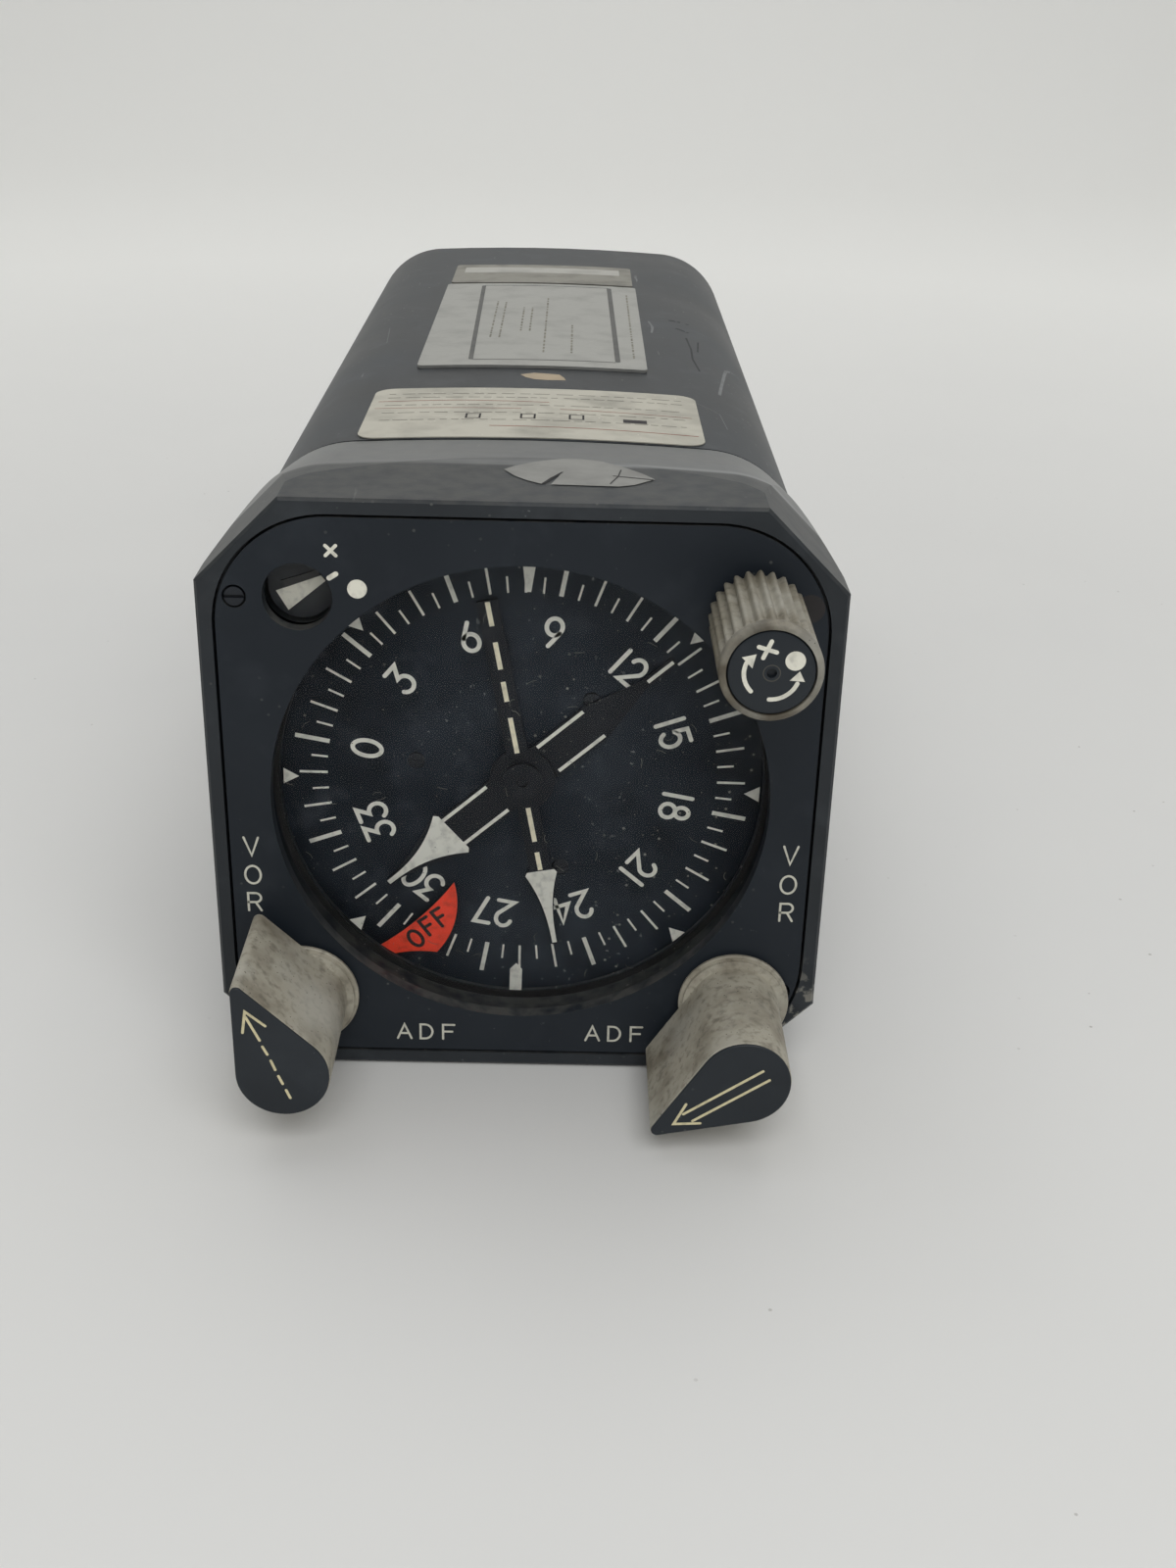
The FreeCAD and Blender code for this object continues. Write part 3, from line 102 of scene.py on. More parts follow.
def finished(name, build, smooth=None):
    """Turn a bmesh into a mesh; edges flatter than smooth degrees are shaded round."""
    bmesh.ops.recalc_face_normals(build, faces=build.faces)
    mesh = bpy.data.meshes.new(name)
    build.to_mesh(mesh)
    build.free()
    if smooth is not None:
        for polygon in mesh.polygons:
            polygon.use_smooth = True
        mesh.set_sharp_from_angle(angle=math.radians(smooth))
    return mesh


print("card front:", round(behind_rim("compass_card", 0), 2), "mm behind the rim")

# %% [markdown]
# ## Drawing a mark
# The marks on the real dial are printed or engraved with tools that leave lines of even width.
# A painted picture could carry them, but it blurs close up and can't catch light at its edges.
# Here a mark is a list of flat outlines that do not overlap. A line becomes a ribbon with
# mitred corners and round ends, as an engraving cutter leaves it.

# %% Arcs, discs and ribbons
SHARPEST = 0.35  # keeps the mitre of a sharp corner from reaching far out


def arc(x, z, across, up, start, end, steps=14):
    """Points on an ellipse, angles in degrees from the right and against the clock."""
    points = []
    for step in range(steps + 1):
        angle = math.radians(start + (end - start) * step / steps)
        points.append((x + across * math.cos(angle), z + up * math.sin(angle)))
    return points


def disc(x, z, radius, steps=28):
    """A mark of one round outline."""
    return [arc(x, z, radius, radius, 0, 360, steps)[:-1]]


def heading_of(start, end):
    """Direction from start to end, one long."""
    length = math.hypot(end[0] - start[0], end[1] - start[1])
    return (end[0] - start[0]) / length, (end[1] - start[1]) / length


def stroke(points, width):
    """A mark that follows a line; where the line ends at its start it closes."""
    closed = math.dist(points[0], points[-1]) < 1e-6
    if closed:
        points = points[:-1]
    count = len(points)
    half = width / 2
    edges = []
    for index, (x, z) in enumerate(points):
        first = index == 0 and not closed
        last = index == count - 1 and not closed
        way_out = heading_of((x, z), points[(index + 1) % count]) if not last else None
        way_in = heading_of(points[index - 1], (x, z)) if not first else way_out
        way_out = way_out or way_in
        bend = max(SHARPEST, 1 + way_in[0] * way_out[0] + way_in[1] * way_out[1])
        side_x = -(way_in[1] + way_out[1]) / bend * half
        side_z = (way_in[0] + way_out[0]) / bend * half
        edges.append(((x + side_x, z + side_z), (x - side_x, z - side_z)))
    pairs = list(zip(edges, edges[1:] + edges[:1])) if closed else list(zip(edges, edges[1:]))
    mark = [[left, right, next_right, next_left]
            for (left, right), (next_left, next_right) in pairs]
    if not closed:
        for near, far in ((points[0], points[1]), (points[-1], points[-2])):
            way = heading_of(far, near)
            turn = math.degrees(math.atan2(way[1], way[0]))
            mark.append(arc(near[0], near[1], half, half, turn - 90, turn + 90, 8))
    return mark


print("corners in a round mark:", len(disc(0, 0, 1)[0]))

# %% [markdown]
# ## From outline to ink
# Screen print lies on its ground as a film some hundredths of a millimetre thick. A curve
# object could be extruded for that, but its faces are hard to keep few and tidy, so the
# outlines are pulled up to slabs face by face. Where two marks cross, as in an X, each lies a
# hair higher than the one before, so that no two faces share a plane.

# %% Bars, turns and slabs of ink
STEP_UP = 0.004  # millimetres between marks that may cross


def bar(low, high, width, x=0.0):
    """A mark of one upright bar."""
    half = width / 2
    return [[(x - half, low), (x + half, low), (x + half, high), (x - half, high)]]


def turned(marks, angle, x=0.0, z=0.0):
    """Marks turned clockwise about the origin, then moved to x, z."""
    cosine = math.cos(math.radians(angle))
    sine = math.sin(math.radians(angle))
    return [[[(x + u * cosine + v * sine, z - u * sine + v * cosine) for u, v in shape]
             for shape in mark] for mark in marks]


def raised(name, marks, y, body, finish, thickness=0.025):
    """Ink slabs whose back lies on the plane y, in one mesh."""
    build = bmesh.new()
    for number, mark in enumerate(marks):
        front_y = y - thickness - STEP_UP * (number % 3)
        for shape in mark:
            back = [build.verts.new(at(u, y, v)) for u, v in shape]
            front = [build.verts.new(at(u, front_y, v)) for u, v in shape]
            build.faces.new(front)
            for here in range(len(shape)):
                after = (here + 1) % len(shape)
                build.faces.new((front[here], back[here], back[after], front[after]))
    return new_piece(name, finished(name, build), body, finish)


print("outlines in a short line:", len(stroke([(0, 0), (1, 0)], 0.1)))

# %% [markdown]
# ## A small workshop for finishes
# No used surface has one colour: dust, handling and age break it up. A picture of the surface
# could be wrapped round the piece, but a pattern that noise nodes work out has no seams and
# stays sharp at any distance. This class makes the patterns: noise of any size, noise drawn out
# along one way, separate specks, and masks that fade from none to full.

# %% Patterns


class Pattern:
    """A material and the noise, specks and masks that its surface is broken up with."""

    def __init__(self, name):
        self.material = bpy.data.materials.new(name)
        self.material.use_nodes = True
        self.tree = self.material.node_tree
        where = self.tree.nodes.new("ShaderNodeTexCoord")
        self.place = where.outputs["Object"]
        self.normal = where.outputs["Normal"]

    def stretched(self, across, along, up):
        """Places scaled along X, Y and Z; the pattern is drawn out where the scale is small."""
        node = self.tree.nodes.new("ShaderNodeMapping")
        node.inputs["Scale"].default_value = (across, along, up)
        self.tree.links.new(self.place, node.inputs["Vector"])
        return node.outputs[0]

    def noise(self, per_metre, detail=5.0, place=None):
        """Cloudy noise; per_metre sets the size of its clouds."""
        node = self.tree.nodes.new("ShaderNodeTexNoise")
        node.inputs["Scale"].default_value = per_metre
        node.inputs["Detail"].default_value = detail
        self.tree.links.new(place or self.place, node.inputs["Vector"])
        return node.outputs[0]

    def grains(self, per_metre, radius):
        """A mask of small separate specks."""
        node = self.tree.nodes.new("ShaderNodeTexVoronoi")
        node.inputs["Scale"].default_value = per_metre
        self.tree.links.new(self.place, node.inputs["Vector"])
        return self.mask(node.outputs["Distance"], radius, radius * 0.6)

    def mask(self, value, empty, full, most=1.0):
        """Fades from 0 where value is empty to most where it is full."""
        node = self.tree.nodes.new("ShaderNodeMapRange")
        node.inputs["From Min"].default_value = empty
        node.inputs["From Max"].default_value = full
        node.inputs["To Max"].default_value = most
        self.tree.links.new(value, node.inputs["Value"])
        return node.outputs[0]

    def both(self, first, second):
        """Where two masks meet."""
        node = self.tree.nodes.new("ShaderNodeMath")
        node.operation = "MULTIPLY"
        self.tree.links.new(first, node.inputs[0])
        self.tree.links.new(second, node.inputs[1])
        return node.outputs[0]

    def side_of(self, place, side):
        """One coordinate, X, Y or Z, of a place or a normal."""
        node = self.tree.nodes.new("ShaderNodeSeparateXYZ")
        self.tree.links.new(place, node.inputs[0])
        return node.outputs[side]

    def distance_to(self, point):
        """Distance in metres from a point of the frame."""
        node = self.tree.nodes.new("ShaderNodeVectorMath")
        node.operation = "DISTANCE"
        self.tree.links.new(self.place, node.inputs[0])
        node.inputs[1].default_value = point
        return node.outputs["Value"]


print("patterns:", ", ".join(name for name in vars(Pattern) if not name.startswith("_")))

# %% [markdown]
# ## Colour, gloss and bumps
# On the real piece dirt changes more than the colour: a stain is duller too, and a speck stands
# proud. Separate shaders could be mixed for that, but one principled shader can hold all three.
# The class below lays colours over each other by masks, lets noise move the gloss, and stacks
# fine bumps, so that each finish further down takes only a few lines.

# %% Colour, gloss and bumps


def linear(red, green, blue):
    """A screen colour of 0 to 255 as the linear colour that the shader wants."""
    def one(value):
        """One channel by the usual screen curve."""
        value /= 255
        return value / 12.92 if value <= 0.04045 else ((value + 0.055) / 1.055) ** 2.4
    return one(red), one(green), one(blue), 1.0


class Finish(Pattern):
    """A principled shader whose colour, gloss and bumps follow the patterns."""

    def __init__(self, name, colour, roughness, metallic=0.0):
        super().__init__(name)
        self.shader = self.tree.nodes["Principled BSDF"]
        self.colour = self.tree.nodes.new("ShaderNodeRGB").outputs[0]
        self.colour.default_value = linear(*colour)
        self.shader.inputs["Roughness"].default_value = roughness
        self.shader.inputs["Metallic"].default_value = metallic
        self.heights = []

    def over(self, mask, colour):
        """Lay another colour over the present one where the mask says."""
        node = self.tree.nodes.new("ShaderNodeMix")
        node.data_type = "RGBA"
        self.tree.links.new(mask, node.inputs[0])
        self.tree.links.new(self.colour, node.inputs[6])
        node.inputs[7].default_value = linear(*colour)
        self.colour = node.outputs[2]

    def vary(self, socket, value, low, high):
        """Let noise or a mask move a shader value between low and high."""
        node = self.tree.nodes.new("ShaderNodeMapRange")
        node.inputs["To Min"].default_value = low
        node.inputs["To Max"].default_value = high
        self.tree.links.new(value, node.inputs["Value"])
        self.tree.links.new(node.outputs[0], self.shader.inputs[socket])

    def bump(self, value, depth_mm):
        """Raise the surface where value is high."""
        self.heights.append((value, depth_mm))

    def done(self):
        """Link colour and bumps to the shader and give the material."""
        self.tree.links.new(self.colour, self.shader.inputs["Base Color"])
        normal = None
        for value, depth_mm in self.heights:
            node = self.tree.nodes.new("ShaderNodeBump")
            node.inputs["Distance"].default_value = depth_mm * MM
            self.tree.links.new(value, node.inputs["Height"])
            if normal is not None:
                self.tree.links.new(normal, node.inputs["Normal"])
            normal = node.outputs[0]
        if normal is not None:
            self.tree.links.new(normal, self.shader.inputs["Normal"])
        return self.material


print("a middle grey of 128 is", round(linear(128, 128, 128)[0], 3), "in linear light")

# %% [markdown]
# ## Dark paint and dust
# The case and the front wear a dark, slightly blue satin paint. Dust lies on it in soft clouds
# and in single specks, long light scratches run over it, and worn spots shine a little more.
# Each surface could have a recipe of its own, but one recipe with different strengths keeps
# case, face, dial and pointers one family, as on the real instrument. Dust also settles on
# whatever looks upwards, so that mask asks the surface normal.

# %% Dark paint and dust


def dark_coat(name, colour, roughness, cloud, speck, scratch, shine=0.5, grain=0.012):
    """Dark paint with clouds of dust, specks and scratches; the last ones are strengths."""
    paint = Finish(name, colour, roughness)
    paint.shader.inputs["Specular IOR Level"].default_value = shine
    cloudy = paint.noise(35, 6)
    lighter = tuple(min(255, value + 42) for value in colour)
    darker = tuple(value * 0.6 for value in colour)
    paint.over(paint.mask(cloudy, 0.42, 0.75, cloud), lighter)
    paint.over(paint.mask(paint.noise(160, 8), 0.55, 0.8, cloud), lighter)
    paint.over(paint.mask(paint.noise(24, 5, paint.stretched(3, 1, 3)), 0.55, 0.7, cloud), darker)
    specks = paint.both(paint.grains(520, 0.13), paint.mask(paint.noise(60, 3), 0.5, 0.7, speck))
    paint.over(specks, (150, 150, 142))
    long_way = paint.noise(60, 4, paint.stretched(18, 1, 18))
    lines = paint.both(paint.mask(long_way, 0.69, 0.72), paint.mask(cloudy, 0.5, 0.6, scratch))
    paint.over(lines, (128, 130, 130))
    paint.vary("Roughness", cloudy, roughness - 0.07, roughness + 0.12)
    paint.bump(paint.noise(1400, 3), grain)
    paint.bump(specks, 0.02)
    return paint


def dust_on_top(paint, most):
    """Grey dust on whatever looks upwards, such as the lower wall of the window."""
    facing_up = paint.mask(paint.side_of(paint.normal, "Z"), 0.2, 0.8, most)
    paint.over(paint.both(facing_up, paint.mask(paint.noise(420, 6), 0.3, 0.6)), (118, 116, 108))
    return paint


case_paint = dark_coat("case_paint", (27, 33, 39), 0.4, 0.5, 0.7, 0.8, 0.36).done()
face_paint = dust_on_top(dark_coat("face_paint", (28, 34, 41), 0.5, 0.14, 0.3, 0.2, 0.25),
                         0.35).done()
dial_paint = dark_coat("dial_paint", (23, 30, 38), 0.65, 0.62, 0.8, 0.6, 0.15, 0.003).done()
knob_black = dark_coat("knob_black", (30, 36, 42), 0.4, 0.2, 0.4, 0.3, 0.35, 0.006).done()
screw_paint = dark_coat("screw_paint", (26, 30, 36), 0.5, 0.2, 0.3, 0.2, 0.3).done()
pointer_paint = dark_coat("pointer_paint", (27, 30, 35), 0.6, 0.2, 0.3, 0.1, 0.2, 0.003).done()
worn_edge = dark_coat("worn_edge", (62, 66, 68), 0.42, 0.5, 0.9, 0.5, 0.5).done()
print("nodes in the case paint:", len(case_paint.node_tree.nodes))

# %% [markdown]
# ## Printing ink
# The marks are an off-white ink that has yellowed a little and is thin in places. One flat tone
# could do for such narrow marks, but close up the eye sees at once that real ink is patchy.
# Noise of two sizes darkens it, and very fine bumps stand for its grain. The flag is sprayed
# with the same kind of ink in red-orange.

# %% Printing ink


def print_ink(name, colour):
    """Ink or sprayed colour, thin in places and a little dirty."""
    ink = Finish(name, colour, 0.6)
    darker = tuple(value * 0.78 for value in colour)
    ink.over(ink.mask(ink.noise(900, 4), 0.5, 0.72, 0.6), darker)
    ink.over(ink.mask(ink.noise(260, 5), 0.56, 0.7, 0.4), darker)
    ink.bump(ink.noise(2500, 2), 0.004)
    return ink.done()


white_ink = print_ink("white_ink", (232, 230, 216))
legend_ink = print_ink("legend_ink", (206, 205, 192))
dial_ink = print_ink("dial_ink", (232, 232, 222))
dash_ink = print_ink("dash_ink", (240, 234, 208))
yellow_ink = print_ink("yellow_ink", (222, 212, 172))
black_ink = print_ink("black_ink", (30, 26, 26))
flag_paint = print_ink("flag_paint", (255, 74, 46))
inks = [material.name for material in bpy.data.materials if material.name.endswith("_ink")]
print("inks:", ", ".join(inks))

# %% [markdown]
# ## Stained knob paint
# The knobs are warm light grey, and fingers have left brown stains and dark grains on them. A
# single noise would do for a quick picture, but one size alone looks like camouflage, so the stains
# come in several sizes. The front of the sync knob's collar is darker in brown blotches: there the
# mask follows the place along the axis.

# %% Stained knob paint


def stained_paint(name, colour, darker_before=None):
    """Warm light grey knob paint with brown stains, darker in front of an optional place along Y."""
    paint = Finish(name, colour, 0.55)
    if darker_before is not None:
        # The collar is darker in brown blotches in front of the given place along Y.
        collar = paint.mask(paint.side_of(paint.place, "Y"), darker_before, darker_before - 0.5 * MM)
        paint.over(paint.both(collar, paint.mask(paint.noise(380, 5), 0.3, 0.6, 0.85)),
                   (62, 57, 48))
    paint.over(paint.mask(paint.noise(170, 9), 0.44, 0.68, 0.62), (96, 86, 68))
    paint.over(paint.mask(paint.noise(900, 7), 0.5, 0.7, 0.5), (78, 73, 62))
    paint.over(paint.mask(paint.noise(75, 5), 0.5, 0.7, 0.55), (188, 187, 178))
    paint.over(paint.both(paint.grains(1500, 0.16), paint.mask(paint.noise(300, 3), 0.5, 0.6)),
               (46, 42, 36))
    paint.vary("Roughness", paint.noise(300, 4), 0.42, 0.72)
    paint.bump(paint.noise(1300, 6), 0.02)
    return paint.done()


knob_paint = stained_paint("knob_paint", (171, 166, 151))
sync_paint = stained_paint("sync_paint", (136, 131, 117), RIM_Y - 18.6 * MM)
print("nodes in the knob paint:", len(knob_paint.node_tree.nodes))

# %% [markdown]
# ## The lacquered casting
# The front casting has the case paint, but the band next to the seam was coated once more with
# clear lacquer. It shines, and its streaks are a little greyer: partly the lacquer's tone, partly
# painted sheen. The light line along the crest where the casting starts to slope is a painted
# highlight. One lower corner has been knocked and shows grey metal. The lacquer could be a mesh
# of its own, but it has no thickness to see, so masks along Y lay it and the painted highlight on
# the same solid, and a mask of the distance from the corner bares the metal.

# %% Casting paint
CREST = 17.4
KNOCKED_CORNER = at(38.5, 2.0, -33.0)
casting = dust_on_top(dark_coat("casting_paint", (31, 36, 41), 0.4, 0.3, 0.6, 0.6, 0.35), 0.16)
behind = casting.side_of(casting.place, "Y")
band = casting.mask(behind, RIM_Y + (CREST - 0.6) * MM, RIM_Y + (CREST + 0.8) * MM)
lacquer_and_sheen_streak = casting.noise(14, 6, casting.stretched(1, 22, 6))
# Lacquer tone and painted sheen: lighter grey streaks along the band.
casting.over(casting.both(band, casting.mask(lacquer_and_sheen_streak, 0.3, 0.75, 0.75)), (56, 62, 67))
# Painted highlight: a light line along the crest, broken by the streaks.
crest_highlight = casting.both(band, casting.mask(behind, RIM_Y + (CREST + 2.2) * MM,
                                        RIM_Y + (CREST + 0.9) * MM))
casting.over(casting.both(crest_highlight, casting.mask(lacquer_and_sheen_streak, 0.4, 0.55, 0.6)), (128, 131, 132))
casting.vary("Coat Weight", band, 0.0, 0.55)
casting.shader.inputs["Coat Roughness"].default_value = 0.3
knocked = casting.mask(casting.distance_to(KNOCKED_CORNER), 11 * MM, 4 * MM)
casting.over(casting.both(knocked, casting.mask(casting.noise(500, 7), 0.5, 0.56, 0.85)),
             (134, 132, 124))
casting_paint = casting.done()
print("lacquer starts", CREST, "mm behind the rim")

# %% [markdown]
# ## Bare metal
# Behind the dial there are brass gears, steel shafts and aluminium plates. They are hardly
# seen, but they keep their own finishes for anyone who opens the case. A flat metal colour
# could be enough in the dark, but it looks like plastic in any light, because the tool of a
# real machine leaves fine lines. So the noise that moves the gloss is stretched along one way.

# %% Bare metal


def bare_metal(name, colour, roughness, stain):
    """Machined metal; stain is how strongly dark spots cover it."""
    metal = Finish(name, colour, roughness, 1.0)
    darker = tuple(value * 0.55 for value in colour)
    metal.over(metal.mask(metal.noise(180, 6), 0.48, 0.75, stain), darker)
    turned_lines = metal.noise(900, 3, metal.stretched(1, 9, 1))
    metal.vary("Roughness", turned_lines, roughness * 0.7, roughness * 1.5)
    metal.bump(turned_lines, 0.004)
    return metal.done()


strip_metal = bare_metal("strip_metal", (158, 156, 148), 0.5, 0.5)
print("nodes in the strip metal:", len(strip_metal.node_tree.nodes))

# %% [markdown]
# ## Rubber, plastic, paper and glass
# The gasket, the movements, the boards and the sticker have no metal shine, but an uneven tone
# and a grain. Each could be painted on its own, but they differ only in tone and grain, so they
# share one recipe. The window is thick glass with a film of dust. The real pane is coated and
# the dial is read through it without glare, so it bends light less than the plain glass of the
# lamps.

# %% Rubber, plastic, paper and glass


def plain_solid(name, colour, roughness, grain):
    """Rubber, moulded plastic or laminate with a soft uneven tone."""
    solid = Finish(name, colour, roughness)
    solid.over(solid.mask(solid.noise(140, 6), 0.45, 0.75, 0.6), tuple(v * 0.7 for v in colour))
    specks = solid.both(solid.grains(700, 0.12), solid.mask(solid.noise(80, 3), 0.5, 0.65, 0.6))
    solid.over(specks, tuple(min(255, v + 50) for v in colour))
    solid.vary("Roughness", solid.noise(400, 4), roughness - 0.1, roughness + 0.15)
    solid.bump(solid.noise(1500, 4), grain)
    return solid.done()


def clear_glass(name, haze, mirror):
    """Clear glass with a thin film of dust; a coated pane mirrors less than a bare one."""
    glass = Finish(name, (255, 255, 255), 0.02)
    glass.shader.inputs["Transmission Weight"].default_value = 1.0
    glass.shader.inputs["IOR"].default_value = mirror
    glass.vary("Roughness", glass.mask(glass.noise(220, 6), 0.5, 0.8), 0.01, haze)
    return glass.done()


window_pane = clear_glass("window_glass", 0.04, 1.13)
print("nodes in the window glass:", len(window_pane.node_tree.nodes))

# %% [markdown]
# ## A finish for every node
# The record of the part names a material slot for each node, as a parts list would. The
# finishes could be given by hand, node by node, but a table from slot to finish and one loop
# can't forget any. A few nodes then get a finish of their own, such as the dark pointers and
# the lacquered casting.

# %% A finish for every node
finishes = {
    "case_paint": case_paint,
    "face_paint": face_paint,
    "dial_paint": dial_paint,
    "knob_paint": knob_paint,
    "knob_black": knob_black,
    "flag_paint": flag_paint,
    "signal_paint": white_ink,
    "window_glass": window_pane,
    "lamp_glass": clear_glass("lamp_glass", 0.15, 1.45),
    "gasket_rubber": plain_solid("gasket_rubber", (22, 22, 23), 0.7, 0.02),
    "movement_black": plain_solid("movement_black", (34, 34, 36), 0.5, 0.01),
    "connector_plastic": plain_solid("connector_plastic", (32, 30, 29), 0.45, 0.008),
    "board_laminate": plain_solid("board_laminate", (74, 98, 58), 0.5, 0.01),
    "transformer_iron": plain_solid("transformer_iron", (62, 58, 54), 0.55, 0.02),
    "sticker_paper": plain_solid("sticker_paper", (190, 187, 174), 0.6, 0.006),
    "screw_steel": bare_metal("screw_steel", (96, 96, 96), 0.4, 0.6),
    "shaft_steel": bare_metal("shaft_steel", (176, 176, 174), 0.3, 0.3),
    "bearing_bronze": bare_metal("bearing_bronze", (150, 118, 72), 0.35, 0.5),
    "hub_aluminium": bare_metal("hub_aluminium", (190, 191, 193), 0.32, 0.2),
    "gear_brass": bare_metal("gear_brass", (196, 164, 96), 0.3, 0.4),
    "motor_can": bare_metal("motor_can", (168, 170, 172), 0.38, 0.3),
    "frame_aluminium": bare_metal("frame_aluminium", (182, 184, 186), 0.36, 0.3),
    "connector_alloy": bare_metal("connector_alloy", (150, 148, 138), 0.42, 0.4),
    "pin_gold": bare_metal("pin_gold", (222, 186, 104), 0.25, 0.2),
    "label_metal": bare_metal("label_metal", (184, 184, 180), 0.42, 0.25),
}
for entry in frame["record"]["subparts"]:
    node = nodes[entry["node"]]
    node.data.materials.clear()
    node.data.materials.append(finishes[entry["material_slot"]])
for name in ("pointer_1", "pointer_2", "pointer_1_shaft"):
    nodes[name].data.materials[0] = pointer_paint
for name in ("face_screws", "card_screws"):
    nodes[name].data.materials[0] = screw_paint
nodes["front_casting"].data.materials[0] = casting_paint
nodes["modification_plate"].data.materials[0] = strip_metal
nodes["annunciator_pointer"].data.materials[0] = finishes["movement_black"]

# %% [markdown]
# ## Worn edges
# No edge of a cast or stamped piece is really sharp, and paint rubs off there first, so edges
# show as thin lighter lines. They could be rounded in the CAD, but at a tenth of a millimetre
# that costs many faces. Here a bevel modifier does it, with the worn paint as its own material.
# Flat facets are joined first, so that only true edges are bevelled.

# %% Worn edges


def softened(node, width):
    """Break the sharp edges of a CAD node by a narrow bevel of worn paint."""
    nodes[node].data.materials.append(worn_edge)
    flat = nodes[node].modifiers.new("join_flat_facets", "DECIMATE")
    flat.decimate_type = "DISSOLVE"
    flat.angle_limit = math.radians(0.6)
    bevel = nodes[node].modifiers.new("worn_edges", "BEVEL")
    bevel.width = width * MM
    bevel.segments = 2
    bevel.angle_limit = math.radians(32)
    bevel.material = 1


softened("front_casting", 0.16)
softened("face_plate", 0.06)
print("bevelled nodes:", [node.name for node in nodes.values() if "worn_edges" in node.modifiers])

# %% [markdown]
# ## Numerals and letters
# The numerals on the card are drawn with one round-ended line of even width. The 3 has a flat
# top, the 1 is a bare line and the 7 is straight. A font could set them, but it would have
# other shapes and be one more file to read. So each sign is given as lines in a box one unit
# wide and high, and the same shapes serve at any size.

# %% One-line glyphs
OVAL = [arc(0, 0, 0.5, 0.5, 90, 450, 24)]
GLYPHS = {
    "0": OVAL,
    "1": [[(0, -0.5), (0, 0.5)]],
    "2": [arc(0, 0.2, 0.46, 0.3, 165, -35) + [(-0.48, -0.5), (0.5, -0.5)]],
    "3": [[(-0.42, 0.5), (0.42, 0.5), (-0.06, 0.1)] + arc(-0.02, -0.2, 0.5, 0.3, 84, -150)],
    "4": [[(0.22, -0.5), (0.22, 0.5), (-0.5, -0.2), (0.5, -0.2)]],
    "5": [[(0.42, 0.5), (-0.36, 0.5), (-0.4, 0.06)] + arc(0, -0.16, 0.48, 0.34, 140, -150)],
    "6": [[(0.16, 0.5), (-0.3, 0.06)] + arc(0, -0.2, 0.46, 0.3, 140, 500, 24)],
    "7": [[(-0.46, 0.5), (0.46, 0.5), (-0.12, -0.5)]],
    "8": [arc(0, 0.26, 0.36, 0.24, -90, 270, 18), arc(0, -0.24, 0.46, 0.26, 90, 450, 20)],
    "9": [[(-0.16, -0.5), (0.3, -0.06)] + arc(0, 0.2, 0.46, 0.3, -40, 320, 24)],
    "A": [[(-0.46, -0.5), (0, 0.5), (0.46, -0.5)], [(-0.28, -0.14), (0.28, -0.14)]],
    "D": [[(-0.4, -0.5), (-0.4, 0.5)] + arc(-0.1, 0, 0.5, 0.5, 90, -90) + [(-0.4, -0.5)]],
    "F": [[(-0.36, -0.5), (-0.36, 0.5), (0.4, 0.5)], [(-0.36, 0.02), (0.26, 0.02)]],
    "O": OVAL,
    "R": [[(-0.4, -0.5), (-0.4, 0.5)] + arc(0.08, 0.24, 0.34, 0.26, 90, -90) + [(-0.4, -0.02)],
          [(0.06, -0.02), (0.42, -0.5)]],
    "V": [[(-0.46, 0.5), (0, -0.5), (0.46, 0.5)]],
    "X": [[(-0.5, -0.5), (0.5, 0.5)], [(-0.5, 0.5), (0.5, -0.5)]],
}


def glyph(sign, wide, tall, line):
    """One sign about the origin, wide and tall along the middle of its line."""
    return [stroke([(u * wide, v * tall) for u, v in points], line) for points in GLYPHS[sign]]


def word(text, wide, tall, line, pitch):
    """Signs side by side about the origin; the bare 1 takes less room."""
    rooms = [pitch * (0.62 if sign == "1" else 1) for sign in text]
    place = -sum(rooms) / 2
    marks = []
    for sign, room in zip(text, rooms):
        marks += turned(glyph(sign, wide, tall, line), 0, place + room / 2, 0)
        place += room
    return marks


print("signs drawn:", "".join(sorted(GLYPHS)))

# %% [markdown]
# ## The compass card
# The card turns with the heading, and here it stands near 80 degrees. It has a short tick at
# each five degrees, a longer one at each ten and a bold one at each thirty, with a numeral
# inside it that gives the heading in tens of degrees. An array of one bar could make the ticks,
# but the three lengths and the numerals break the rhythm, so one loop over the degrees draws
# them all. The print rides on the card and turns with it.

# %% Card print
HEADING = 79.6
TICK_FOOT = 26.75
BOLD_TICK = 31.5, 0.62
LONG_TICK = 30.6, 0.35
SHORT_TICK = 29.0, 0.28
NUMERAL_RADIUS = 21.6
card_front = behind_rim("compass_card", 0)
card_marks = []
for degrees in range(0, 360, 5):
    angle = degrees - HEADING
    if degrees % 30 == 0:
        card_marks += turned([bar(TICK_FOOT, *BOLD_TICK)], angle)
        numeral = word(str(degrees // 10), 2.3, 4.0, 0.6, 3.0)
        card_marks += turned(turned(numeral, 0, 0, NUMERAL_RADIUS), angle)
    elif degrees % 10 == 0:
        card_marks += turned([bar(TICK_FOOT, *LONG_TICK)], angle)
    else:
        card_marks += turned([bar(TICK_FOOT, *SHORT_TICK)], angle)
raised("card_print", card_marks, card_front, "card", dial_ink)
print("card marks:", len(card_marks))

# %% [markdown]
# ## The fixed index marks
# Eight marks on the back of the glass stay still while the card turns under them: a flared bar
# at the top, a small house shape at the bottom and triangles at the other steps of 45 degrees.
# They could lie on the card's plane, but on the real instrument they float a little in front of
# it, so they are placed just behind the pane and ride on the case.

